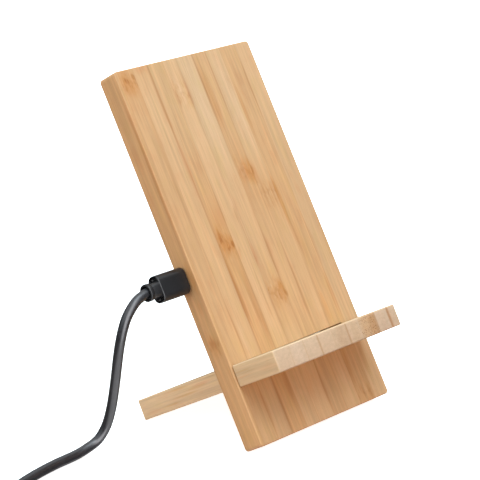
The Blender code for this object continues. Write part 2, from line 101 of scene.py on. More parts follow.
mid_d = STOCK / 2
back_run = LEG_REACH - mid_d
foot_s = BOARD_S + back_run * math.sin(BOARD_DROOP)
foot_d = mid_d - back_run * math.cos(BOARD_DROOP)
LEAN = math.atan2(foot_s, -foot_d)
UP = Vector((0, math.sin(LEAN), math.cos(LEAN)))
OUT = Vector((0, -math.cos(LEAN), math.sin(LEAN)))
FORWARD = OUT * math.cos(BOARD_DROOP) - UP * math.sin(BOARD_DROOP)
ABOVE = UP * math.cos(BOARD_DROOP) + OUT * math.sin(BOARD_DROOP)
board_origin = UP * BOARD_S + OUT * mid_d
front_edge = board_origin + FORWARD * (mid_d + SHELF_REACH - EASE) + ABOVE * EASE
rear_edge = board_origin - FORWARD * (back_run - EASE) + ABOVE * (BOARD_T - EASE)
CENTRE_Y = (front_edge.y - EASE + rear_edge.y + EASE) / 2
TOUCH = EASE * (math.cos(LEAN) + math.sin(LEAN) - 0.993)

# STAND takes (x, -d, s) in millimetres to the row frame in metres.
STAND = (
    Matrix.Diagonal((MM, MM, MM, 1))
    @ Matrix.Translation((0, -CENTRE_Y, -TOUCH))
    @ Matrix.Rotation(-LEAN, 4, "X")
)
BOARD = (
    STAND
    @ Matrix.Translation((BOARD_X, -mid_d, BOARD_S))
    @ Matrix.Rotation(BOARD_DROOP, 4, "X")
)
PLUG = STAND @ Matrix.Translation((-PANEL_W / 2, -SOCKET_D, SOCKET_S))
FAR = (
    Matrix.Diagonal((MM, MM, MM, 1))
    @ Matrix.Translation(FAR_PLUG)
    @ Matrix.Rotation(math.pi, 4, "Z")
)
WORLD = Matrix.Diagonal((MM, MM, MM, 1))

scene = bpy.context.scene

# ------------------------------------------------------------------- camera


def add_camera():
    data = bpy.data.cameras.new("camera")
    data.sensor_width = 36.0
    data.lens = 160.158
    data.clip_start = 0.05
    data.clip_end = 60.0
    cam = bpy.data.objects.new("camera", data)
    scene.collection.objects.link(cam)
    yaw, pitch, roll = (math.radians(v) for v in (44.564, 12.554, -6.251))
    fwd = Vector(
        (math.sin(yaw) * math.cos(pitch), math.cos(yaw) * math.cos(pitch), -math.sin(pitch))
    )
    right0 = Vector((math.cos(yaw), -math.sin(yaw), 0))
    up0 = right0.cross(fwd)
    right = right0 * math.cos(roll) + up0 * math.sin(roll)
    up = up0 * math.cos(roll) - right0 * math.sin(roll)
    cam.matrix_world = Matrix.Translation((-0.58300, -0.58754, 0.25804)) @ Matrix(
        (
            (right.x, up.x, -fwd.x, 0),
            (right.y, up.y, -fwd.y, 0),
            (right.z, up.z, -fwd.z, 0),
            (0, 0, 0, 1),
        )
    )
    scene.camera = cam


add_camera()

# ------------------------------------------------------------ node materials


class Graph:
    """A short way to write a material's nodes."""

    def __init__(self, name):
        self.mat = bpy.data.materials.new(name)
        self.mat.use_nodes = True
        self.tree = self.mat.node_tree
        self.tree.nodes.clear()
        self.out = self.tree.nodes.new("ShaderNodeOutputMaterial")
        self.shader = self.tree.nodes.new("ShaderNodeBsdfPrincipled")
        self.link(self.shader.outputs[0], self.out.inputs[0])

    def link(self, a, b):
        self.tree.links.new(a, b)

    def put(self, socket, value):
        if isinstance(value, bpy.types.NodeSocket):
            self.link(value, socket)
        elif isinstance(value, (tuple, list)) and len(value) == 3 and socket.type == "RGBA":
            socket.default_value = (*value, 1.0)
        else:
            socket.default_value = value

    def node(self, kind, **values):
        n = self.tree.nodes.new(kind)
        for key, value in values.items():
            setattr(n, key, value)
        return n

    def math(self, op, a, b=0.0, c=0.0, clamp=False):
        n = self.node("ShaderNodeMath", operation=op, use_clamp=clamp)
        self.put(n.inputs[0], a)
        self.put(n.inputs[1], b)
        self.put(n.inputs[2], c)
        return n.outputs[0]

    def add(self, a, b):
        return self.math("ADD", a, b)

    def sub(self, a, b):
        return self.math("SUBTRACT", a, b)

    def mul(self, a, b):
        return self.math("MULTIPLY", a, b)

    def fma(self, a, b, c):
        return self.math("MULTIPLY_ADD", a, b, c)

    def ease(self, value, low, high, to_low=0.0, to_high=1.0):
        n = self.node("ShaderNodeMapRange", interpolation_type="SMOOTHSTEP", clamp=True)
        for socket, v in zip(n.inputs, (value, low, high, to_low, to_high)):
            self.put(socket, v)
        return n.outputs[0]

    def attribute(self, name):
        return self.node("ShaderNodeAttribute", attribute_name=name)

    def split(self, vector):
        n = self.node("ShaderNodeSeparateXYZ")
        self.put(n.inputs[0], vector)
        return n.outputs

    def join(self, x, y, z):
        n = self.node("ShaderNodeCombineXYZ")
        for socket, v in zip(n.inputs, (x, y, z)):
            self.put(socket, v)
        return n.outputs[0]

    def scaled(self, vector, factors):
        n = self.node("ShaderNodeVectorMath", operation="MULTIPLY")
        self.put(n.inputs[0], vector)
        self.put(n.inputs[1], factors)
        return n.outputs[0]

    def shifted(self, vector, by):
        n = self.node("ShaderNodeVectorMath", operation="ADD")
        self.put(n.inputs[0], vector)
        self.put(n.inputs[1], by)
        return n.outputs[0]

    def noise(self, vector, scale=1.0, detail=2.0, rough=0.5, distortion=0.0):
        n = self.node("ShaderNodeTexNoise", noise_dimensions="3D")
        self.put(n.inputs["Vector"], vector)
        n.inputs["Scale"].default_value = scale
        n.inputs["Detail"].default_value = detail
        n.inputs["Roughness"].default_value = rough
        n.inputs["Distortion"].default_value = distortion
        return n.outputs[0]

    def cells(self, vector, scale=1.0, feature="F1", randomness=1.0):
        n = self.node("ShaderNodeTexVoronoi", feature=feature)
        self.put(n.inputs["Vector"], vector)
        n.inputs["Scale"].default_value = scale
        n.inputs["Randomness"].default_value = randomness
        return n

    def blend(self, fac, a, b, how="MIX"):
        n = self.node("ShaderNodeMix", data_type="RGBA", blend_type=how, clamp_factor=True)
        self.put(n.inputs[0], fac)
        self.put(n.inputs[6], a)
        self.put(n.inputs[7], b)
        return n.outputs[2]

    def steps(self, index, count, rows):
        """A table of colours picked by a whole number."""
        n = self.node("ShaderNodeValToRGB")
        ramp = n.color_ramp
        ramp.interpolation = "CONSTANT"
        while len(ramp.elements) < len(rows):
            ramp.elements.new(1.0)
        for k, row in enumerate(rows):
            ramp.elements[k].position = k / count
            ramp.elements[k].color = (*row, 1.0)
        self.put(n.inputs[0], self.math("DIVIDE", self.add(index, 0.5), float(count)))
        return n.outputs[0]

    def bump(self, height, distance, strength=1.0, normal=None):
        n = self.node("ShaderNodeBump")
        n.inputs["Strength"].default_value = strength
        n.inputs["Distance"].default_value = distance
        self.put(n.inputs["Height"], height)
        if normal is not None:
            self.link(normal, n.inputs["Normal"])
        return n.outputs[0]

    def finish(self, colour, roughness, normal=None, metallic=0.0, **constants):
        self.put(self.shader.inputs["Base Color"], colour)
        self.put(self.shader.inputs["Roughness"], roughness)
        self.shader.inputs["Metallic"].default_value = metallic
        if normal is not None:
            self.link(normal, self.shader.inputs["Normal"])
        for key, value in constants.items():
            self.shader.inputs[key.replace("_", " ")].default_value = value
        return self.mat


def bamboo(name, base, joints, strips, seed, marks=(), cut_end=(0.94, 0.93, 1.0), sanded_rim_and_highlight=0.03):
    """Bamboo strips glued side by side.

    The mesh carries the point attribute "grain": millimetres across the strips,
    through the board and along the fibres. "endgrain" is 1 where the fibres are
    cut across, and "eased" is 1 on the sanded edges.
    Each strip is (tone, warmth, slope across it, streakiness, dots on its ends,
    place of its node along it or None, strength of the node, how much it pales
    towards its far end, a painted sheen of the light from above). Each mark is
    (kind, centre, radii, strength), a lens of other colour in the wood; a few marks,
    noted where they are listed, are painted light and one is a painted shadow; the
    kinds are in MARKS.
    """
    g = Graph(name)
    grain = g.attribute("grain").outputs["Vector"]
    x, d, s = g.split(grain)
    endgrain = g.attribute("endgrain").outputs["Fac"]
    eased = g.attribute("eased").outputs["Fac"]

    # which strip, and how far from the nearest glue line
    index = None
    line = None
    for where, strength, width in joints:
        over = g.math("GREATER_THAN", x, where)
        index = over if index is None else g.add(index, over)
        near = g.mul(
            g.ease(g.math("ABSOLUTE", g.sub(x, where)), width * 0.2, width, 1.0, 0.0), strength
        )
        line = near if line is None else g.math("MAXIMUM", line, near)
    count = 16
    edges = [-37.5] + [j[0] for j in joints] + [37.5]
    tones, nodes, habits, places = [], [], [], []
    for k, (tone, warmth, slope, streak, dots, node_at, node_strength, pale) in enumerate(strips):
        red, green, blue = base
        tones.append(
            (
                min(1.0, red * tone * (1 + 0.02 * warmth)),
                min(1.0, green * tone * (1 - 0.05 * warmth)),
                min(1.0, blue * tone * (1 - 0.15 * warmth)),
            )
        )
        at = -60.0 if node_at is None else node_at
        nodes.append(((at + 100.0) / 300.0, node_strength, (k * 0.381966 + seed * 0.17) % 1.0))
        habits.append((slope * 0.5 + 0.5, streak * 0.5, dots * 0.5))
        places.append((((edges[k] + edges[k + 1]) / 2 + 50.0) / 100.0, pale, 0.0))
    colour_of = g.steps(index, count, tones)
    node_row = g.split(g.steps(index, count, nodes))
    habit_row = g.split(g.steps(index, count, habits))
    place_row = g.split(g.steps(index, count, places))
    node_at = g.fma(node_row[0], 300.0, -100.0)
    node_strength, strip_seed = node_row[1], node_row[2]
    slope = g.fma(habit_row[0], 2.0, -1.0)
    streak, dots = g.mul(habit_row[1], 2.0), g.mul(habit_row[2], 2.0)
    centre = g.fma(place_row[0], 100.0, -50.0)
    pale = place_row[1]

    # every strip is cut from its own place in the cane
    far = g.join(g.mul(strip_seed, 713.0), g.mul(strip_seed, 291.0), g.mul(strip_seed, 1337.0))
    cane = g.shifted(grain, far)

    # fibres: long streaks of three widths, and short dark bundles
    broad = g.noise(g.scaled(cane, (0.36, 0.36, 0.014)), detail=2.0, rough=0.55)
    medium = g.noise(g.scaled(cane, (0.95, 0.95, 0.026)), detail=3.0, rough=0.6)
    fine = g.noise(g.scaled(cane, (3.2, 3.2, 0.075)), detail=3.0, rough=0.65)
    hair = g.noise(g.scaled(cane, (8.0, 8.0, 0.20)), detail=2.0, rough=0.6)
    bundles = g.ease(
        g.noise(g.scaled(cane, (4.4, 4.4, 0.085)), detail=1.0, rough=0.5), 0.56, 0.70
    )
    drift = g.noise(g.scaled(cane, (0.09, 0.09, 0.030)), detail=2.0, rough=0.55)
    marble = g.noise(g.scaled(cane, (0.22, 0.22, 0.085)), detail=3.0, rough=0.6)

    # the node: a mottled, browner band with short dark marks and a wavy scar
    wander = g.fma(g.noise(g.scaled(cane, (0.35, 0.35, 0.04)), detail=2.0), 9.0, -4.5)
    off = g.sub(g.sub(s, node_at), wander)
    size = g.math("ABSOLUTE", off)
    band = g.mul(g.ease(size, 1.5, 8.5, 1.0, 0.0), node_strength)
    halo = g.mul(g.ease(size, 4.0, 22.0, 1.0, 0.0), node_strength)
    mottle = g.noise(g.scaled(cane, (0.8, 0.8, 0.34)), detail=3.0, rough=0.62, distortion=0.4)
    speck = g.ease(
        g.cells(g.scaled(cane, (0.95, 0.95, 0.34)), scale=1.0).outputs["Distance"], 0.10, 0.36, 1.0, 0.0
    )
    scar = g.mul(g.ease(size, 0.15, 1.1, 1.0, 0.0), node_strength)

    # colour along the grain
    tone = g.fma(g.sub(g.ease(broad, 0.28, 0.72), 0.5), 0.10, 1.0)
    tone = g.add(tone, g.mul(g.sub(g.ease(medium, 0.25, 0.75), 0.5), g.mul(streak, 0.17)))
    tone = g.add(tone, g.mul(g.sub(fine, 0.5), g.mul(streak, 0.22)))
    tone = g.add(tone, g.mul(g.sub(hair, 0.5), 0.06))
    tone = g.add(tone, g.mul(g.sub(drift, 0.5), 0.14))
    tone = g.sub(tone, g.mul(g.mul(g.sub(x, centre), slope), 0.016))
    colour = g.blend(1.0, colour_of, g.join(tone, tone, tone), "MULTIPLY")
    brown = tuple(c * f for c, f in zip(base, (0.68, 0.53, 0.39)))
    amber = tuple(c * f for c, f in zip(base, (0.90, 0.74, 0.52)))
    # painted sheen: each strip is drawn paler towards its top by its "pale" amount, standing in for the light
    # from above
    colour = g.blend(
        g.mul(pale, g.ease(s, 84.0, 136.0)),
        colour,
        g.blend(1.0, colour, (1.02, 1.12, 1.24), "MULTIPLY"),
    )
    rosy = g.blend(1.0, colour, MARKS["rosy"], "MULTIPLY")
    olive = g.blend(1.0, colour, (0.96, 0.99, 0.84), "MULTIPLY")
    colour = g.blend(g.mul(g.ease(marble, 0.50, 0.74), 0.55), colour, rosy)
    colour = g.blend(g.mul(g.ease(marble, 0.30, 0.50, 1.0, 0.0), 0.45), colour, olive)
    colour = g.blend(g.mul(bundles, g.mul(streak, 0.22)), colour, brown)
    colour = g.blend(g.mul(halo, g.fma(mottle, 0.35, 0.12)), colour, amber)
    colour = g.blend(g.mul(band, g.ease(mottle, 0.36, 0.66, 0.10, 0.85)), colour, amber)
    colour = g.blend(g.mul(g.mul(band, speck), g.ease(mottle, 0.40, 0.62, 0.20, 0.85)), colour, brown)
    colour = g.blend(g.mul(scar, g.ease(fine, 0.40, 0.60, 0.0, 0.65)), colour, brown)
    colour = g.blend(
        g.mul(g.mul(line, g.ease(drift, 0.30, 0.62, 0.45, 1.0)), 0.42), colour, brown
    )

    # the cut ends: pale, with the bundles seen as dots that crowd to one side
    end_colour = g.blend(1.0, colour_of, cut_end, "MULTIPLY")
    spots = g.cells(g.scaled(g.join(x, d, strip_seed), (1.35, 1.55, 1.0)), scale=1.0, randomness=0.85)
    crowd = g.ease(
        g.noise(g.scaled(g.shifted(g.join(x, d, 0.0), far), (0.20, 0.20, 0.20)), detail=1.0),
        0.40,
        0.60,
    )
    spot = g.ease(spots.outputs["Distance"], 0.14, 0.46, 1.0, 0.0)
    pulp = g.noise(g.scaled(g.join(x, d, strip_seed), (0.55, 0.8, 1.0)), detail=4.0, rough=0.65)
    end_tone = g.fma(g.sub(pulp, 0.5), 0.42, 1.0)
    end_tone = g.sub(end_tone, g.mul(g.mul(g.sub(x, centre), slope), 0.015))
    end_colour = g.blend(1.0, end_colour, g.join(end_tone, end_tone, end_tone), "MULTIPLY")
    dotted = g.mul(spot, g.mul(g.fma(crowd, 0.7, 0.3), dots))
    deep = tuple(c * f for c, f in zip(base, (0.46, 0.33, 0.22)))
    end_colour = g.blend(g.mul(dotted, 0.60), end_colour, deep)
    end_colour = g.blend(g.mul(line, 0.42), end_colour, brown)
    colour = g.blend(endgrain, colour, end_colour)

    # the marks: long lenses that follow the fibres, gathered by kind
    bent = g.shifted(
        grain,
        g.join(
            g.fma(g.noise(g.scaled(cane, (0.05, 0.05, 0.045)), detail=1.0), 1.6, -0.8),
            0.0,
            g.fma(g.noise(g.scaled(cane, (0.8, 0.8, 0.05)), detail=1.0), 5.0, -2.5),
        ),
    )
    gathered = {}
    for kind, where, radii, strength in marks:
        scale = tuple(0.0 if r is None else 1.0 / r for r in radii)
        n = g.node("ShaderNodeVectorMath", operation="MULTIPLY_ADD")
        g.put(n.inputs[0], bent)
        g.put(n.inputs[1], scale)
        g.put(n.inputs[2], tuple(-c * f for c, f in zip(where, scale)))
        span = g.node("ShaderNodeVectorMath", operation="LENGTH")
        g.put(span.inputs[0], n.outputs[0])
        lens = g.ease(span.outputs["Value"], 0.25, 1.0, 1.0, 0.0)
        gathered[kind] = (
            g.mul(lens, strength)
            if kind not in gathered
            else g.fma(lens, strength, gathered[kind])
        )
    fibrous = g.ease(fine, 0.30, 0.70, 0.55, 1.25)
    for kind, amount in gathered.items():
        amount = g.math("MULTIPLY", amount, fibrous, clamp=True)
        colour = g.blend(amount, colour, g.blend(1.0, colour, MARKS[kind], "MULTIPLY"))

    # painted highlight: the sanded top edge is drawn paler, partly as paler sanded wood and partly as the
    # light from above catching it
    bright = g.mul(eased, g.ease(d, 7.6, 8.4, 0.0, sanded_rim_and_highlight))
    colour = g.blend(
        bright, colour, tuple(min(1.0, c * f) for c, f in zip(base, (1.34, 1.40, 1.56)))
    )

    rough = g.fma(g.sub(fine, 0.5), 0.16, 0.50)
    rough = g.add(rough, g.mul(bundles, 0.06))
    rough = g.add(rough, g.mul(endgrain, 0.14))
    face_height = g.sub(g.fma(fine, 0.8, g.mul(hair, 0.5)), g.mul(bundles, 0.6))
    face_height = g.sub(face_height, g.mul(line, 0.8))
    face_height = g.add(face_height, g.mul(g.mul(band, mottle), 0.8))
    end_height = g.fma(pulp, 0.9, g.mul(dotted, -0.9))
    height = g.add(
        g.mul(face_height, g.sub(1.0, endgrain)), g.mul(end_height, endgrain)
    )
    normal = g.bump(height, 0.00006, 0.55)
    return g.finish(colour, rough, normal, IOR=1.47, Specular_IOR_Level=0.42)


def moulding(name, colour, rough, grit=0.00002, scale=1800.0, level=0.5):
    """Moulded plastic with a fine spark-eroded texture and a little wear."""
    g = Graph(name)
    place = g.node("ShaderNodeTexCoord").outputs["Object"]
    fine = g.noise(place, scale=scale, detail=3.0, rough=0.6)
    soft = g.noise(place, scale=120.0, detail=2.0, rough=0.5)
    tint = g.ease(soft, 0.3, 0.7, 0.86, 1.16)
    shade = g.blend(1.0, colour, g.join(tint, tint, tint), "MULTIPLY")
    roughness = g.add(g.fma(g.sub(fine, 0.5), 0.18, rough), g.mul(g.sub(soft, 0.5), 0.12))
    return g.finish(shade, roughness, g.bump(fine, grit, 0.6), Specular_IOR_Level=level)


def jacket(name):
    """A smooth vinyl cable jacket: the wires inside show as a very slight ripple."""
    g = Graph(name)
    place = g.node("ShaderNodeTexCoord").outputs["Object"]
    ripple = g.noise(place, scale=240.0, detail=2.0, rough=0.5)
    fine = g.noise(place, scale=2600.0, detail=2.0, rough=0.55)
    tint = g.ease(ripple, 0.3, 0.7, 0.85, 1.15)
    shade = g.blend(1.0, (0.019, 0.0195, 0.023), g.join(tint, tint, tint), "MULTIPLY")
    roughness = g.fma(g.sub(fine, 0.5), 0.12, g.fma(g.sub(ripple, 0.5), 0.10, 0.33))
    normal = g.bump(ripple, 0.00004, 0.5)
    normal = g.bump(fine, 0.000012, 0.5, normal)
    return g.finish(shade, roughness, normal, Specular_IOR_Level=0.55)


def metal(name, colour, rough, stretch=(1, 1, 1), scale=900.0, dirt=0.3):
    """Plated metal, with drawing marks along one way and slight tarnish."""
    g = Graph(name)
    place = g.node("ShaderNodeTexCoord").outputs["Object"]
    marks = g.noise(g.scaled(place, stretch), scale=scale, detail=4.0, rough=0.7)
    stain = g.noise(place, scale=260.0, detail=3.0, rough=0.6)
    tint = g.ease(stain, 0.35, 0.75, 1.0, 1.0 - dirt)
    shade = g.blend(1.0, colour, g.join(tint, tint, tint), "MULTIPLY")
    roughness = g.add(g.fma(g.sub(marks, 0.5), 0.25, rough), g.mul(g.ease(stain, 0.4, 0.8), 0.15))
    return g.finish(shade, roughness, g.bump(marks, 0.00001, 0.5), metallic=1.0)


def ceramic(name, colour, tinned=(0.72, 0.72, 0.70)):
    """Sintered ceramic. The tinned colour for metal ends is not used."""
    g = Graph(name)
    place = g.node("ShaderNodeTexCoord").outputs["Object"]
    fine = g.noise(place, scale=2400.0, detail=3.0, rough=0.6)
    soft = g.noise(place, scale=500.0, detail=2.0)
    tint = g.ease(soft, 0.3, 0.7, 0.85, 1.12)
    shade = g.blend(1.0, colour, g.join(tint, tint, tint), "MULTIPLY")
    return g.finish(shade, g.fma(fine, 0.2, 0.35), g.bump(fine, 0.00001, 0.6))


def board_mask(name):
    """Solder mask over copper tracks: traces, vias and bare pads."""
    g = Graph(name)
    place = g.node("ShaderNodeTexCoord").outputs["Object"]
    tracks = g.cells(g.scaled(place, (1.0, 0.7, 1.3)), scale=330.0, feature="DISTANCE_TO_EDGE")
    track = g.ease(tracks.outputs["Distance"], 0.05, 0.09, 1.0, 0.0)
    vias = g.ease(g.cells(place, scale=420.0).outputs["Distance"], 0.10, 0.14, 1.0, 0.0)
    fine = g.noise(place, scale=3000.0, detail=2.0)
    colour = g.blend(g.mul(track, 0.6), (0.012, 0.105, 0.040), (0.05, 0.26, 0.10))
    colour = g.blend(g.mul(vias, 0.8), colour, (0.50, 0.42, 0.20))
    rough = g.fma(fine, 0.15, 0.30)
    return g.finish(colour, rough, g.bump(g.add(track, g.mul(fine, 0.2)), 0.00003, 0.6), Coat_Weight=0.25)


def enamelled(name):
    """Copper wire under clear enamel."""
    g = Graph(name)
    place = g.node("ShaderNodeTexCoord").outputs["Object"]
    marks = g.noise(place, scale=700.0, detail=3.0, rough=0.6)
    colour = g.blend(g.ease(marks, 0.35, 0.7), (0.72, 0.30, 0.12), (0.55, 0.20, 0.08))
    return g.finish(
        colour, g.fma(marks, 0.2, 0.20), g.bump(marks, 0.00002, 0.4), metallic=0.9, Coat_Weight=0.4
    )


def pressed(name, colour, rough):
    """Pressed ferrite: a fine grey grain with a few bright specks."""
    g = Graph(name)
    place = g.node("ShaderNodeTexCoord").outputs["Object"]
    grit = g.noise(place, scale=2200.0, detail=4.0, rough=0.7)
    patch = g.noise(place, scale=180.0, detail=3.0)
    specks = g.ease(g.cells(place, scale=1500.0).outputs["Distance"], 0.08, 0.14, 1.0, 0.0)
    tint = g.ease(patch, 0.3, 0.7, 0.8, 1.25)
    shade = g.blend(1.0, colour, g.join(tint, tint, tint), "MULTIPLY")
    shade = g.blend(g.mul(specks, 0.25), shade, (0.32, 0.32, 0.34))
    return g.finish(shade, g.fma(grit, 0.2, rough), g.bump(grit, 0.00003, 0.6))


def foam(name):
    """Closed-cell foam: small rounded cells, drawn darker in their pits as painted shade."""
    g = Graph(name)
    place = g.node("ShaderNodeTexCoord").outputs["Object"]
    cells = g.cells(place, scale=2600.0)
    wide = g.noise(place, scale=300.0, detail=2.0)
    depth = cells.outputs["Distance"]
    # painted shade: the tint follows the cells' depth, darker in their pits
    tint = g.add(g.ease(depth, 0.05, 0.6, 0.55, 1.25), g.mul(g.sub(wide, 0.5), 0.3))
    shade = g.blend(1.0, (0.045, 0.045, 0.047), g.join(tint, tint, tint), "MULTIPLY")
    return g.finish(shade, 0.92, g.bump(depth, 0.00015, 0.8), Sheen_Weight=0.25, Sheen_Roughness=0.5)


def woven(name):
    """A woven nylon strap: "weave" holds millimetres along, across and through it. The low parts of the weave
    are drawn darker, a painted shade.
    """
    g = Graph(name)
    along, across, _ = g.split(g.attribute("weave").outputs["Vector"])
    warp = g.math("SINE", g.mul(along, TAU / 0.62))
    weft = g.math("SINE", g.mul(across, TAU / 0.55))
    check = g.mul(warp, weft)
    thread = g.noise(g.join(along, across, 0.0), scale=5.0, detail=3.0, rough=0.7)
    height = g.add(g.fma(check, 0.5, 0.5), g.mul(thread, 0.5))
    # painted shade: the tint follows the weave's height, darker where it is low
    tint = g.add(g.ease(check, -1.0, 1.0, 0.55, 1.25), g.mul(g.sub(thread, 0.5), 0.5))
    shade = g.blend(1.0, (0.026, 0.026, 0.028), g.join(tint, tint, tint), "MULTIPLY")
    return g.finish(
        shade, g.fma(thread, 0.15, 0.72), g.bump(height, 0.00012, 0.8), Sheen_Weight=0.3, Sheen_Roughness=0.4
    )


WOOD = (0.598, 0.3586, 0.175)
PALE_WOOD = (0.664, 0.474, 0.280)

# what each kind of mark does to the wood's colour; "light" and "pale" serve only as painted light, and one
# "amber" mark is a painted shadow
MARKS = {
    "brown": (0.80, 0.68, 0.56),
    "amber": (0.94, 0.80, 0.60),
    "rosy": (0.98, 0.87, 0.82),
    "cream": (1.06, 1.12, 1.24),
    "light": (1.10, 1.10, 1.12),
    "pale": (1.16, 1.17, 1.19),
}

# (place, strength, width) of each glue line on the panel, from left to right
PANEL_JOINTS = [
    (-35.8, 0.6, 0.50),
    (-28.0, 0.5, 0.50),
    (-19.9, 1.2, 0.75),
    (-11.7, 0.5, 0.50),
    (-4.2, 0.5, 0.50),
    (4.5, 0.8, 0.60),
    (12.3, 0.6, 0.50),
    (20.4, 0.6, 0.50),
    (29.1, 0.6, 0.50),
]
# tone, warmth, slope, streaks, dots, node at, node strength, pales (a painted sheen towards the top)
PANEL_STRIPS = [
    (0.94, 0.6, 0.0, 1.0, 0.5, None, 0.0, 0.1),
    (0.99, 0.1, 0.2, 1.0, 0.5, 149.5, 0.66, 0.15),
    (1.02, -0.3, 0.6, 0.9, 0.4, 160.0, 0.80, 0.4),
    (0.96, 0.7, 0.2, 1.1, 0.6, 78.5, 0.80, 1.0),
    (1.03, -0.4, 0.1, 0.9, 0.4, 141.0, 0.45, 0.6),
    (1.03, -0.4, -0.2, 0.9, 0.4, 54.5, 0.75, 0.9),
    (0.99, 0.0, -0.3, 1.1, 0.6, 103.0, 0.65, 0.2),
    (1.02, -0.2, -0.6, 0.9, 0.4, 92.0, 0.50, 0.8),
    (0.98, 0.3, -0.3, 1.0, 0.5, 4.0, 0.45, 0.4),
    (1.03, -0.6, -0.2, 0.9, 0.5, None, 0.0, 0.2),
]


def on_front(kind, x, half, s0, s1, strength):
    """A mark on the panel's front face, from height s0 to s1."""
    return (kind, (x, 10.0, (s0 + s1) / 2), (half * 1.5, 5.0, (s1 - s0) / 2 * 1.25), strength)


def on_side(kind, d, half, s0, s1, strength):
    """A mark on the panel's left edge face."""
    return (kind, (-37.5, d, (s0 + s1) / 2), (1.2, half * 1.5, (s1 - s0) / 2 * 1.25), strength)


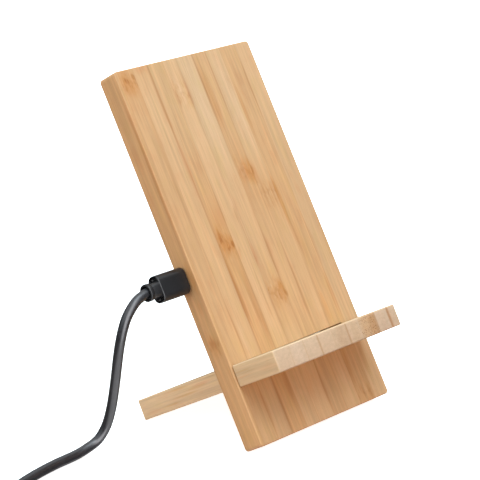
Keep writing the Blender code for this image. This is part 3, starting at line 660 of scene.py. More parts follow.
PANEL_MARKS = [
    # the top third
    on_front("amber", -32.5, 3.6, 143, 155, 0.9),
    on_front("brown", -32.8, 1.0, 148.5, 151.5, 1.0),
    on_front("brown", -28.9, 0.9, 150, 153, 1.1),
    on_front("brown", -34.6, 0.9, 146, 149, 0.7),
    on_front("brown", -28.9, 0.9, 78, 148, 0.35),
    on_front("rosy", -23.5, 3.0, 151, 156, 0.9),
    on_front("brown", -20.0, 0.8, 118, 156, 0.75),
    on_front("rosy", -20.1, 1.2, 100, 124, 0.9),
    on_front("cream", -18.5, 0.6, 104, 153, 0.4),
    on_front("cream", -8.6, 1.7, 135, 148, 0.8),
    on_front("brown", -11.0, 0.6, 134, 142, 0.6),
    on_front("rosy", -4.4, 0.9, 133, 147, 1.0),
    on_front("brown", -4.3, 0.5, 134, 143, 0.5),
    on_front("cream", 0.5, 2.6, 104, 158, 0.35),
    on_front("amber", 6.6, 1.8, 118, 154, 0.65),
    on_front("brown", 5.0, 0.6, 118, 156, 0.55),
    on_front("brown", 12.5, 0.5, 126, 156, 0.45),
    on_front("cream", 16.6, 2.2, 108, 156, 0.40),
    on_front("cream", 18.9, 0.6, 106, 144, 0.5),
    on_front("amber", 21.2, 0.9, 114, 140, 0.6),
    on_front("brown", 29.1, 0.5, 122, 150, 0.7),
    on_front("brown", 23.9, 0.5, 128, 150, 0.3),
    # the middle
    on_front("amber", 11.0, 2.8, 97, 109, 1.0),
    on_front("rosy", 8.0, 3.2, 98, 108, 0.6),
    on_front("brown", 12.6, 0.6, 101, 106, 0.8),
    on_front("brown", 13.9, 0.45, 85, 100, 0.45),
    on_front("cream", 15.0, 0.45, 86, 98, 0.7),
    on_front("brown", 16.0, 0.45, 85, 97, 0.45),
    on_front("brown", 18.4, 0.45, 84, 96, 0.6),
    on_front("amber", 20.9, 1.2, 76, 100, 1.0),
    on_front("brown", 20.6, 0.7, 87, 98, 0.6),
    on_front("brown", 21.6, 0.6, 58, 88, 0.5),
    on_front("amber", 23.0, 1.6, 60, 82, 0.35),
    on_front("brown", 29.4, 0.45, 56, 78, 0.55),
    on_front("amber", 36.5, 0.7, 56, 84, 0.5),
    on_front("brown", -5.0, 0.5, 84, 92, 0.5),
    on_front("cream", -4.6, 0.9, 90, 96, 0.5),
    on_front("rosy", -4.0, 1.1, 65, 77, 0.9),
    on_front("brown", -3.9, 0.4, 66, 71, 0.6),
    on_front("brown", -11.8, 0.5, 84, 100, 0.5),
    on_front("rosy", -14.0, 2.8, 84, 94, 0.6),
    on_front("brown", 4.6, 0.5, 56, 84, 0.7),
    on_front("rosy", 5.4, 0.8, 66, 76, 0.7),
    # the node left of the middle
    on_front("amber", -17.2, 2.2, 72, 86, 1.0),
    on_front("amber", -13.5, 2.0, 74, 82, 1.0),
    on_front("brown", -17.6, 1.1, 78, 84, 0.9),
    on_front("brown", -12.5, 0.8, 75.5, 79, 1.4),
    on_front("brown", -15.2, 1.0, 75.5, 77.5, 1.1),
    on_front("cream", -16.2, 0.8, 71, 75, 0.9),
    on_front("rosy", -11.0, 1.0, 71, 76, 0.8),
    # below it
    on_front("brown", -19.3, 1.0, 42, 76, 0.85),
    on_front("rosy", -19.0, 1.3, 44, 70, 0.6),
    on_front("brown", -13.1, 1.5, 33, 71, 0.55),
    on_front("cream", -15.1, 0.35, 38, 70, 0.6),
    on_front("cream", -9.6, 1.2, 34, 68, 0.35),
    on_front("brown", -7.3, 0.35, 45, 63, 0.5),
    on_front("brown", -4.5, 0.5, 36, 62, 0.5),
    on_front("amber", 3.0, 1.9, 49, 60, 1.0),
    on_front("brown", 1.0, 0.6, 49.5, 54, 0.9),
    on_front("brown", 4.5, 0.7, 50.5, 54, 1.0),
    on_front("cream", -1.8, 1.0, 53.5, 57.5, 0.8),
    on_front("cream", 2.4, 0.6, 46, 52, 0.7),
    on_front("brown", 12.3, 0.6, 34, 72, 0.6),
    on_front("cream", 18.6, 1.3, 33, 52, 0.5),
    on_front("amber", 22.0, 1.6, 33, 48, 0.5),
    on_front("brown", 27.9, 0.45, 34, 57, 0.6),
    on_front("rosy", 28.8, 0.6, 36, 58, 0.6),
    on_front("brown", -28.0, 0.55, 32, 58, 0.8),
    on_front("cream", -25.8, 1.4, 33, 50, 0.6),
    # under the shelf
    on_front("brown", -20.0, 0.9, -2, 24, 0.7),
    on_front("brown", -13.4, 1.4, 10, 26, 0.7),
    on_front("brown", -27.9, 0.6, -2, 24, 0.7),
    on_front("brown", 4.7, 0.7, 2, 26, 0.6),
    on_front("brown", 21.6, 1.3, 8, 26, 0.7),
    on_front("cream", 17.0, 2.0, -2, 24, 0.35),
    on_front("amber", 31.5, 1.8, 10, 26, 0.6),
    on_front("cream", 26.0, 0.6, 2, 9, 0.8),
    on_front("brown", 24.4, 0.5, 1, 8, 0.5),
    on_front("brown", 27.8, 0.8, 0, 7, 0.7),
    # the left edge face
    on_side("brown", 8.7, 0.9, 80, 150, 0.55),
    on_side("amber", 9.2, 0.8, 78, 156, 0.5),
    on_side("rosy", 4.6, 1.2, 112, 128, 0.6),
    on_side("rosy", 3.0, 1.0, 100, 108, 0.5),
    on_side("rosy", 6.2, 1.2, 54, 62, 0.7),
    # painted light: these two "pale" lenses lighten the lower edge face and the patch just below the plug,
    # against the shade the plug casts there
    on_side("pale", 4.2, 6.0, -62, 66, 1.4),
    on_side("pale", 3.0, 3.6, 50, 66, 0.5),
    # painted shadow: this "amber" lens is the plug's shadow on the wood beside its front
    on_side("amber", 8.0, 1.6, 62, 78, 0.8),
    on_side("amber", 5.8, 3.6, 37, 48, 0.5),
    on_side("brown", 4.4, 1.0, 41, 45, 0.8),
    on_side("brown", 6.4, 0.8, 40.5, 46, 0.9),
    on_side("brown", 8.3, 0.7, 42, 45, 0.6),
    on_side("brown", 3.2, 0.6, 39.5, 42, 0.6),
    on_side("brown", 5.4, 0.5, 43, 47, 0.6),
    on_side("brown", 7.3, 0.4, 38, 42, 0.5),
    on_side("rosy", 8.4, 0.8, 24, 34, 0.5),
]
BOARD_JOINTS = [
    (-27.0, 0.4, 0.45),
    (-19.0, 0.6, 0.45),
    (-10.9, 0.9, 0.50),
    (-3.0, 0.3, 0.45),
    (5.5, 1.0, 0.60),
    (12.9, 0.4, 0.45),
    (22.7, 0.7, 0.50),
    (30.2, 1.2, 0.60),
]
BOARD_STRIPS = [
    (1.00, 0.1, 0.0, 1.0, 0.25, -52.0, 0.4, 0.0),
    (1.02, -0.1, 0.1, 0.9, 0.25, None, 0.0, 0.0),
    (1.00, 0.0, 0.1, 1.1, 0.20, -12.0, 0.5, 0.0),
    (0.99, 0.2, 0.1, 1.1, 0.20, None, 0.0, 0.0),
    (0.93, 0.3, 0.3, 1.0, 0.30, -38.0, 0.6, 0.0),
    (0.97, 0.1, 0.2, 1.0, 0.45, None, 0.0, 0.0),
    (0.92, 0.7, 0.7, 1.0, 2.00, 10.0, 0.4, 0.0),
    (0.97, -0.4, 0.1, 1.1, 0.30, -60.0, 0.6, 0.0),
    (0.97, 0.0, 0.1, 0.9, 0.25, None, 0.0, 0.0),
]


def on_shelf(kind, x, half, strength):
    """A mark on the shelf's front face, right through the board's thickness."""
    return (kind, (x, 4.35, 29.6), (half * 1.5, 12.0, 4.0), strength)


BOARD_MARKS = [
    on_shelf("brown", 1.6, 2.6, 0.30),
    on_shelf("brown", 5.5, 0.6, 0.55),
    on_shelf("brown", -10.9, 0.5, 0.45),
    on_shelf("amber", 16.0, 2.6, 0.55),
    on_shelf("amber", 20.2, 2.2, 0.85),
    on_shelf("brown", 20.0, 1.9, 0.40),
    on_shelf("amber", 9.5, 2.6, 0.30),
    on_shelf("brown", 22.0, 0.8, 0.55),
    on_shelf("brown", 30.2, 0.7, 1.0),
    on_shelf("rosy", 30.4, 0.9, 0.8),
    on_shelf("cream", -23.0, 2.5, 0.35),
    on_shelf("rosy", 26.0, 2.2, 0.45),
    # painted light: the "light" lens brightens the leg's side face, which gets too little light
    ("light", (-25.1, 4.35, -36.0), (1.3, 16.0, 70.0), 1.2),
    ("amber", (-25.1, 5.6, -30.0), (1.5, 0.9, 9.0), 0.6),
    ("rosy", (-25.1, 6.4, -27.0), (1.5, 0.9, 8.0), 0.9),
    ("amber", (-25.1, 4.2, -38.0), (1.5, 0.8, 10.0), 0.6),
    ("amber", (-25.1, 7.4, -42.0), (1.5, 0.8, 9.0), 0.6),
    ("rosy", (-25.1, 2.0, -60.0), (1.5, 1.2, 8.0), 0.8),
    ("amber", (-25.1, 2.4, -48.0), (1.5, 0.7, 8.0), 0.6),
    ("amber", (-35.3, 5.6, 10.0), (1.5, 0.5, 7.0), 0.6),
    ("rosy", (-35.3, 3.4, 9.0), (1.5, 0.5, 6.0), 0.8),
    ("brown", (-35.3, 4.6, 12.0), (1.5, 0.35, 8.0), 0.4),
]
# tone, warmth, slope, streaks, dots, node at, node strength, pales (a painted sheen towards the top)
COVER_STRIPS = [
    (1.02, 0.1, 0.1, 1.0, 0.4, None, 0.0, 0.0),
    (0.99, 0.3, 0.2, 1.0, 0.4, 76.0, 0.8, 0.0),
    (1.05, -0.3, 0.0, 0.9, 0.4, None, 0.0, 0.3),
    (1.03, 0.0, -0.3, 1.0, 0.4, 118.0, 0.7, 0.0),
    (0.98, 0.5, 0.2, 1.1, 0.4, None, 0.0, 0.2),
    (1.06, -0.4, 0.2, 0.9, 0.4, 90.0, 0.6, 0.4),
    (1.01, 0.1, 0.0, 1.0, 0.4, None, 0.0, 0.0),
    (1.04, -0.1, -0.2, 1.0, 0.4, 64.0, 0.7, 0.0),
    (0.99, 0.3, 0.1, 1.0, 0.4, None, 0.0, 0.0),
]

M = {
    "panel": bamboo("bamboo_panel", WOOD, PANEL_JOINTS, PANEL_STRIPS, 1, PANEL_MARKS),
    "board": bamboo(
        "bamboo_board",
        PALE_WOOD,
        BOARD_JOINTS,
        BOARD_STRIPS,
        5,
        BOARD_MARKS,
        cut_end=(0.86, 0.858, 0.965),
        sanded_rim_and_highlight=0.32,
    ),
    "cover": bamboo(
        "bamboo_cover",
        WOOD,
        [(-30 + 8.0 * k, 0.6, 0.50) for k in range(8)],
        COVER_STRIPS,
        9,
    ),
    "screw": metal("screw_zinc", (0.62, 0.62, 0.63), 0.32, scale=1500.0),
    "plug": moulding("black_moulding", (0.008, 0.008, 0.009), 0.38, level=0.36),
    "jacket": jacket("cable_jacket"),
    "steel": metal("plated_steel", (0.78, 0.78, 0.79), 0.20, stretch=(0.15, 1, 1)),
    "mask": board_mask("board_mask"),
    "chip": moulding("chip_black", (0.022, 0.022, 0.023), 0.45, grit=0.00001, scale=4000.0),
    "ceramic": ceramic("capacitor_body", (0.42, 0.30, 0.17)),
    "copper": enamelled("enamelled_copper"),
    "ferrite": pressed("pressed_ferrite", (0.075, 0.075, 0.08), 0.55),
    "foam": foam("closed_cell_foam"),
    "strap": woven("woven_strap"),
    "insert": moulding("insert_white", (0.74, 0.74, 0.72), 0.42, grit=0.00001, scale=2500.0),
}

# -------------------------------------------------------------- mesh helpers


def rounded(w, h, r, seg=6, grow=0.0):
    """A rounded rectangle about the origin, anticlockwise, as (a, b) pairs."""
    w, h, r = w + 2 * grow, h + 2 * grow, max(0.01, r + grow)
    r = min(r, w / 2 - 1e-4, h / 2 - 1e-4)
    points = []
    for ca, cb, start in (
        (w / 2 - r, h / 2 - r, 0),
        (-w / 2 + r, h / 2 - r, 1),
        (-w / 2 + r, -h / 2 + r, 2),
        (w / 2 - r, -h / 2 + r, 3),
    ):
        for k in range(seg + 1):
            a = (start + k / seg) * math.pi / 2
            points.append((ca + r * math.cos(a), cb + r * math.sin(a)))
    return points


def loft(rings, closed=False):
    """A closed bmesh through rings of as many points each; the ends are capped."""
    bm = bmesh.new()
    rows = [[bm.verts.new(p) for p in ring] for ring in rings]
    n = len(rows[0])
    pairs = list(zip(rows, rows[1:]))
    if closed:
        pairs.append((rows[-1], rows[0]))
    for a, b in pairs:
        for k in range(n):
            bm.faces.new((a[k], a[(k + 1) % n], b[(k + 1) % n], b[k]))
    if not closed:
        bm.faces.new(list(reversed(rows[0])))
        bm.faces.new(rows[-1])
    bmesh.ops.recalc_face_normals(bm, faces=bm.faces)
    return bm


def as_mesh(name, bm):
    mesh = bpy.data.meshes.new(name)
    bm.to_mesh(mesh)
    bm.free()
    return mesh


def lathe(profile, steps=48):
    """A closed solid turned about Z from (radius, height) pairs; the first and last are on the axis."""
    bm = bmesh.new()
    rows = []
    for r, z in profile:
        if r < 1e-6:
            rows.append([bm.verts.new((0, 0, z))])
        else:
            rows.append(
                [
                    bm.verts.new((r * math.cos(TAU * k / steps), r * math.sin(TAU * k / steps), z))
                    for k in range(steps)
                ]
            )
    for a, b in zip(rows, rows[1:]):
        for k in range(steps):
            j = (k + 1) % steps
            if len(a) == 1 and len(b) == 1:
                continue
            if len(a) == 1:
                bm.faces.new((a[0], b[k], b[j]))
            elif len(b) == 1:
                bm.faces.new((a[k], b[0], a[j]))
            else:
                bm.faces.new((a[k], b[k], b[j], a[j]))
    bmesh.ops.recalc_face_normals(bm, faces=bm.faces)
    return bm


def boolean(mesh, cutters, how="DIFFERENCE"):
    """The mesh with the cutter meshes taken away or added, one after the other."""
    base = bpy.data.objects.new("base", mesh)
    scene.collection.objects.link(base)
    tools = []
    for k, cutter in enumerate(cutters):
        tool = bpy.data.objects.new(f"tool_{k}", cutter)
        scene.collection.objects.link(tool)
        tools.append(tool)
        mod = base.modifiers.new(f"b{k}", "BOOLEAN")
        mod.operation = how
        mod.solver = "EXACT"
        mod.object = tool
    bpy.context.view_layer.update()
    result = bpy.data.meshes.new_from_object(
        base.evaluated_get(bpy.context.evaluated_depsgraph_get())
    )
    result.name = mesh.name
    for obj in (base, *tools):
        bpy.data.objects.remove(obj, do_unlink=True)
    return result


def smooth(mesh, degrees=35):
    for polygon in mesh.polygons:
        polygon.use_smooth = True
    mesh.set_sharp_from_angle(angle=math.radians(degrees))


def piece(name, mesh, matrix, mat, body, replaces=(), degrees=35):
    """Puts a mesh made in millimetres in its place as a piece of the object."""
    mesh.name = name
    mesh.transform(matrix)
    if matrix.determinant() < 0:
        mesh.flip_normals()
    mesh.materials.clear()
    mesh.materials.append(mat)
    smooth(mesh, degrees)
    mesh.update()
    obj = bpy.data.objects.new(name, mesh)
    scene.collection.objects.link(obj)
    if replaces:
        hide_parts(*replaces)
    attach(obj, body)
    return obj


def add_grain(mesh, order, flat_tolerance=0.985):
    """Stores where the wood's fibres run. order picks (across, through, along) from a
    point made in millimetres, before it is put in its place."""
    grain = mesh.attributes.new("grain", "FLOAT_VECTOR", "POINT")
    values = []
    for vert in mesh.vertices:
        values.extend(order(vert.co))
    grain.data.foreach_set("vector", values)
    ends = mesh.attributes.new("endgrain", "FLOAT", "FACE")
    eased = mesh.attributes.new("eased", "FLOAT", "FACE")
    end_values, eased_values = [], []
    zero = Vector(order(Vector((0, 0, 0))))
    for polygon in mesh.polygons:
        n = Vector(order(polygon.normal)) - zero
        t = min(1.0, max(0.0, (abs(n.z) - 0.45) / 0.45))
        end_values.append(t * t * (3 - 2 * t))
        eased_values.append(0.0 if max(abs(n.x), abs(n.y), abs(n.z)) > flat_tolerance else 1.0)
    ends.data.foreach_set("value", end_values)
    eased.data.foreach_set("value", eased_values)


# --------------------------------------------------------------- cable route


def catmull(points, per_span=24):
    """A smooth curve through the points."""
    ends = [2 * points[0] - points[1]] + list(points) + [2 * points[-1] - points[-2]]
    out = []
    for i in range(1, len(ends) - 2):
        p0, p1, p2, p3 = ends[i - 1 : i + 3]
        for k in range(per_span):
            t = k / per_span
            out.append(
                0.5
                * (
                    2 * p1
                    + (p2 - p0) * t
                    + (2 * p0 - 5 * p1 + 4 * p2 - p3) * t * t
                    + (3 * p1 - p0 - 3 * p2 + p3) * t**3
                )
            )
    out.append(points[-1])
    return out


def even(points, step):
    """The same curve with points a fixed distance apart."""
    lengths = [0.0]
    for a, b in zip(points, points[1:]):
        lengths.append(lengths[-1] + (b - a).length)
    count = max(2, round(lengths[-1] / step))
    out, at = [], 0
    for k in range(count + 1):
        want = lengths[-1] * k / count
        while at < len(points) - 2 and lengths[at + 1] < want:
            at += 1
        span = lengths[at + 1] - lengths[at]
        out.append(points[at].lerp(points[at + 1], (want - lengths[at]) / span))
    return out


REST = CABLE_D / 2 + 0.05
body_length, body_thickness, body_width = PLUG_BODY
neck_length, neck_thickness, neck_width = NECK
collar_length, collar_thickness, collar_width = COLLAR
body_end = -PLUG_GAP - body_length
collar_end = body_end - neck_length - collar_length + 0.4
leave = PLUG @ Vector((collar_end - 0.3, 0, 0)) / MM

route = [
    leave,
    leave + Vector((-5.0, 0.2, -1.96)),
    leave + Vector((-9.2, 1.0, -6.25)),
    leave + Vector((-10.9, 2.5, -11.1)),
    leave + Vector((-11.05, 5.5, -18.0)),
    leave + Vector((-9.8, 9.5, -25.6)),
    leave + Vector((-8.05, 13.5, -32.4)),
    leave + Vector((-5.6, 19.0, -41.0)),
    leave + Vector((-3.9, 24.0, -49.0)),
    leave + Vector((-3.6, 28.3, -56.0)),
    leave + Vector((-6.2, 31.0, -61.0)),
    Vector((leave.x - 11.6, leave.y + 32.2, REST + 0.9)),
    Vector((leave.x - 18.0, leave.y + 32.3, REST)),
    Vector((leave.x - 30.6, leave.y + 31.1, REST)),
    Vector((leave.x - 46.3, leave.y + 27.5, REST)),
    Vector((leave.x - 63.6, leave.y + 21.0, REST)),
]
hank = Vector((*HANK_CENTRE, 0))
r_in, r_out = HANK_RADII
near = hank - route[-1]
near.z = 0
swing = math.asin(r_out / near.length)
heading = math.atan2(near.y, near.x) + swing
reach = near.length * math.cos(swing)
way = Vector((math.cos(heading), math.sin(heading), 0))
entry = route[-1] + way * reach
entry.z = LIFT + CABLE_D / 2
halfway = route[-1] + way * (reach / 2)
halfway.z = REST + 0.3
run = catmull(route + [halfway, entry])

# The turns lie in two layers of three. Each turn shifts to its next place within
# the same sixth of the round, and the step up bows inwards, clear of its neighbours.
low, high = LIFT + CABLE_D / 2, LIFT + CABLE_D / 2 + LAYER
r_mid = (r_in + r_out) / 2
places = [(r_out, low), (r_mid, low), (r_in, low), (r_in, high), (r_mid, high), (r_out, high)]
window = 1 / 6


def coil_at(turns):
    k = min(int(turns), 5)
    u = max(0.0, (turns - k - (1 - window)) / window) if k < 5 else 0.0
    u = u * u * (3 - 2 * u)
    (r0, z0), (r1, z1) = places[k], places[min(k + 1, 5)]
    r = r0 + (r1 - r0) * u
    z = z0 + (z1 - z0) * u
    if k == 2:
        r -= 1.45 * math.sin(math.pi * u)
    angle = heading + math.pi / 2 - turns * TAU
    return hank + Vector((r * math.cos(angle), r * math.sin(angle), z))


turns = [coil_at(HANK_TURNS * k / 700) for k in range(701)]

far = Vector(FAR_PLUG)
out_angle = heading + math.pi / 2 - HANK_TURNS * TAU
across = Vector((math.cos(out_angle), math.sin(out_angle), 0))
onward = Vector((math.sin(out_angle), -math.cos(out_angle), 0))
leave_hank = hank + across * r_out
leave_hank.z = high
tail = catmull(
    [
        leave_hank,
        leave_hank + onward * 8.0 + Vector((0, 0, -0.05)),
        leave_hank + onward * 15.0 + Vector((0, 0, -0.35)),
        leave_hank + onward * 23.0 + Vector((0.1, 0, -2.0)),
        Vector((leave_hank.x + 0.2, far.y + 13.0, REST + 0.6)),
        Vector((leave_hank.x - 2.6, far.y + 5.6, REST)),
        Vector((leave_hank.x - 9.0, far.y + 0.7, REST + 0.2)),
        far + Vector((5.0, 0, -0.5)),
        far + Vector((0.3, 0, 0)),
        far + Vector((-1.2, 0, 0)),
    ]
)
stub = [leave + Vector((1.9, 0, 0)), leave + Vector((0.9, 0, 0))]
whole = even(stub + run + turns[1:] + tail[1:], 1.5)

cable_data = bpy.data.curves.new("charging_cable", "CURVE")
cable_data.dimensions = "3D"
cable_data.bevel_depth = CABLE_D / 2 * MM
cable_data.bevel_resolution = 5
cable_data.use_fill_caps = True
spline = cable_data.splines.new("POLY")
spline.points.add(len(whole) - 1)
for point, co in zip(spline.points, whole):
    point.co = (co.x * MM, co.y * MM, co.z * MM, 1)
spline.use_smooth = True
cable = bpy.data.objects.new("charging_cable", cable_data)
scene.collection.objects.link(cable)
cable_data.materials.append(M["jacket"])
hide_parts("cable_run", "cable_coil", "cable_tail")
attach(cable, "cable")

# -------------------------------------------------------------- bamboo panel


def prism_y(w, h, r, levels, seg=6):
    """Rounded rectangle in x and z, swept along y; levels are (y, growth)."""
    return loft([[(a, y, b) for a, b in rounded(w, h, r, seg, grow)] for y, grow in levels])


def shift(bm, x=0.0, y=0.0, z=0.0):
    bmesh.ops.translate(bm, vec=(x, y, z), verts=bm.verts)
    return bm


def eased_levels(y0, y1, ease, segments=4):
    """Levels of a solid whose two ends are rounded off."""
    turns_of = [k / segments * math.pi / 2 for k in range(segments + 1)]
    first = [(y0 + ease * (1 - math.cos(a)), -ease * (1 - math.sin(a))) for a in turns_of]
    return first + [(y1 - (y - y0), grow) for y, grow in reversed(first)]


def slot_rings():
    """The slot from the panel's front to its back: the roof and floor follow the board's
    faces closely at the back and open towards the front, the roof more on the right.
    Beyond the board's right side the roof comes down at the back."""
    rings = []
    half, r, seg = SLOT_W / 2, 0.7, 5

    def roof(x, above, front, grow):
        across = min(1.0, max(0.0, (x + 10.0) / 36.0))
        beyond = min(1.0, max(0.0, (x - 23.45) / 0.5))
        return above + 0.04 + front * 0.42 * across + grow * 0.6 - 0.45 * beyond * (1 - front)

    slope = math.tan(BOARD_DROOP)
    for y, grow in (
        (-STOCK - 1.0, 0.10),
        (-STOCK, 0.10),
        (-STOCK + 0.10, 0.03),
        (-STOCK + 0.25, 0.0),
        (-STOCK * 0.75, 0.0),
        (-STOCK * 0.5, 0.0),
        (-1.5, 0.0),
        (-0.35, 0.0),
        (-0.08, 0.10),
        (0.0, 0.25),
        (1.0, 0.25),
    ):
        front = min(1.0, max(0.0, -y / STOCK))
        under = BOARD_S + (-mid_d - y) * -slope
        above = under + BOARD_T / math.cos(BOARD_DROOP)
        points = []
        for cx, side, corner in (
            (half - r, 1, 0),
            (-half + r, 1, 1),
            (-half + r, -1, 2),
            (half - r, -1, 3),
        ):
            for k in range(seg + 1):
                t = (corner + k / seg) * math.pi / 2
                x = cx + (r + grow) * math.cos(t)
                if side > 0:
                    z = roof(x, above, front, grow) - (r + grow) * (1 - math.sin(t))
                else:
                    level = under - 0.05 - 0.25 * (1 - front) - grow
                    z = level + (r + grow) * (1 + math.sin(t))
                points.append((x, y, z))
                if side > 0 and corner == 0 and k == seg:
                    # the roof rises in steps across the slot, not in one jump
                    for xj in (23.95, 23.45, 19.0, 14.0, 8.0, 2.0, -4.0, -10.0, -18.0):
                        points.append((xj, y, roof(xj, above, front, grow)))
        rings.append(points)
    return rings


def build_panel():
    bm = prism_y(PANEL_W, PANEL_L, 1.5, eased_levels(-STOCK, 0.0, 0.55), seg=6)
    shift(bm, z=PANEL_L / 2)
    mesh = as_mesh("front_panel_wood", bm)
    cutters = []
    cutters.append(as_mesh("slot", loft(slot_rings())))
    recess = [(-RECESS_D, 0.0), (-0.25, 0.0), (-0.08, 0.08), (0.0, 0.25), (1.0, 0.25)]
    cutters.append(
        as_mesh(
            "recess",
            shift(
                prism_y(RECESS_W, RECESS_S[1] - RECESS_S[0], 5.0, recess, 10),
                z=sum(RECESS_S) / 2,
            ),
        )
    )
    pocket = [(-POCKET_D, -0.3), (-POCKET_D + 0.3, 0.0), (-1.0, 0.0)]
    cutters.append(
        as_mesh(
            "pocket",
            shift(
                prism_y(POCKET_W, POCKET_S[1] - POCKET_S[0], 3.0, pocket, 8),
                z=sum(POCKET_S) / 2,
            ),
        )
    )
    inlet_rings = []
    for x, grow in ((-1.0, 0.25), (0.0, 0.25), (0.1, 0.08), (0.3, 0.0), (10.0, 0.0)):
        inlet_rings.append(
            [
                (-PANEL_W / 2 + x, -SOCKET_D + a, SOCKET_S + b)
                for a, b in rounded(SOCKET_H + 0.6, SOCKET_W + 0.6, 0.8, 5, grow)
            ]
        )
    cutters.append(as_mesh("inlet", loft(inlet_rings)))
    for sign in (-1, 1):
        for s in SCREW_S:
            hole = lathe([(0, 1.2), (2.1, 1.2), (2.1, -0.25), (1.32, -1.05), (1.32, -5.6), (0, -6.2)], 32)
            bmesh.ops.rotate(
                hole, verts=hole.verts, cent=(0, 0, 0), matrix=Matrix.Rotation(-math.pi / 2, 3, "X")
            )
            cutters.append(as_mesh("hole", shift(hole, sign * SCREW_X, -0.12, s)))
    mesh = boolean(mesh, cutters)
    add_grain(mesh, lambda p: (p.x, -p.y, p.z))
    return piece(
        "front_panel_wood", mesh, STAND, M["panel"], "panel", ("front_panel",), 30
    )


def build_cover():
    w = RECESS_W - 2 * COVER_GAP
    h = RECESS_S[1] - RECESS_S[0] - 2 * COVER_GAP
    bm = prism_y(w, h, 4.7, eased_levels(-COVER_T, 0.0, 0.16, 3), seg=10)
    mesh = as_mesh("back_cover_wood", shift(bm, z=sum(RECESS_S) / 2))
    cutters = []
    for sign in (-1, 1):
        for s in SCREW_S:
            hole = lathe([(0, 1.2), (2.3, 1.2), (2.3, 0.12), (2.1, 0.0), (2.1, -0.25), (1.32, -1.05), (1.32, -3.0), (0, -3.5)], 32)
            bmesh.ops.rotate(
                hole, verts=hole.verts, cent=(0, 0, 0), matrix=Matrix.Rotation(-math.pi / 2, 3, "X")
            )
            cutters.append(as_mesh("hole", shift(hole, sign * SCREW_X, -0.12, s)))
    mesh = boolean(mesh, cutters)
    add_grain(mesh, lambda p: (p.x, -p.y, p.z))
    return piece(
        "back_cover_wood", mesh, STAND, M["cover"], "panel", ("back_cover",), 30
    )


def build_board():
    """The cross board, T-shaped in plan, drawn as an outline with small inner and
    outer corner rounds, then eased all round like the sanded original."""
    front_y = mid_d + SHELF_REACH
    shoulder_y = mid_d + 0.3
    rear_y = -back_run
    hs, ht = SHELF_W / 2, TONGUE_W / 2
    corners = [
        (-hs, -front_y, 0.9),
        (hs, -front_y, 0.9),
        (hs, -shoulder_y, 0.5),
        (ht, -shoulder_y, -0.3),
        (ht, -rear_y, 1.0),
        (-ht, -rear_y, 1.0),
        (-ht, -shoulder_y, -0.3),
        (-hs, -shoulder_y, 0.5),
    ]

    def outline(grow):
        points = []
        n = len(corners)
        for i, (x, y, r) in enumerate(corners):
            inner = r < 0
            p = Vector((x, y))
            a = (Vector(corners[i - 1][:2]) - p).normalized()
            b = (Vector(corners[(i + 1) % n][:2]) - p).normalized()
            # moving the outline outwards moves a convex corner away from the board
            sign = -1 if not inner else 1
            p = p + (a + b) * grow * sign
            radius = max(0.05, abs(r) + (grow if not inner else -grow))
            seg = 5
            for k in range(seg + 1):
                t = k / seg * math.pi / 2
                c = p + (a + b) * radius
                # sweep from the side of a to the side of b
                points.append(c - b * radius * math.cos(t) - a * radius * math.sin(t))
        return points

    levels = eased_levels(0.0, BOARD_T, 0.5)
    bm = loft([[(p.x, p.y, z) for p in outline(grow)] for z, grow in levels])
    bmesh.ops.triangulate(bm, faces=[f for f in bm.faces if len(f.verts) > 4])
    mesh = as_mesh("cross_board_wood", bm)
    add_grain(mesh, lambda p: (p.x, p.z, -p.y))
    return piece(
        "cross_board_wood", mesh, BOARD, M["board"], "cross_board", ("stand_board",), 30
    )


panel = build_panel()
cover = build_cover()
board = build_board()


def build_screws():
    for number, (sign, s) in enumerate([(a, b) for a in (-1, 1) for b in SCREW_S], 1):
        head = lathe(
            [
                (0, 0.02),
                (1.2, 0.0),
                (1.62, -0.04),
                (1.75, -0.12),
                (1.74, -0.2),
                (1.0, -0.95),
                (0.95, -1.1),
                (0.75, -1.25),
                (0.95, -1.5),
                (0.75, -1.75),
                (0.95, -2.0),
                (0.75, -2.25),
                (0.95, -2.5),
                (0.75, -2.75),
                (0.95, -3.0),
                (0.75, -3.25),
                (0.95, -3.5),
                (0.75, -3.75),
                (0.9, -4.0),
                (0.6, -4.3),
                (0.35, -4.8),
                (0, -5.0),
            ],
            40,
        )
        mesh = as_mesh(f"screw_{number}", head)
        cutters = []
        for turn in (0, 1):
            rings = []
            for z, grow in ((1.0, 0.06), (-0.05, 0.02), (-0.55, -0.06)):
                ring = rounded(2.0, 0.46, 0.12, 3, grow)
                if turn:
                    ring = [(-b, a) for a, b in ring]
                rings.append([(a, b, z) for a, b in ring])
            cutters.append(as_mesh("drive", loft(rings)))
        mesh = boolean(mesh, cutters)
        twist = Matrix.Rotation(0.35 + number * 0.9, 4, "Z")
        place = (
            STAND
            @ Matrix.Translation((sign * SCREW_X, -0.12, s))
            @ Matrix.Rotation(-math.pi / 2, 4, "X")
            @ twist
        )
        piece(
            f"screw_{number}",
            mesh,
            place,
            M["screw"],
            "panel",
            (f"cover_screw_{number}",),
        )


build_screws()

# --------------------------------------------------------------- charger plug


def section(x, t, w, r, seg=6):
    """A rounded rectangle t thick along y and w wide along z, at this x."""
    return [(x, a, b) for a, b in rounded(t, w, r, seg)]


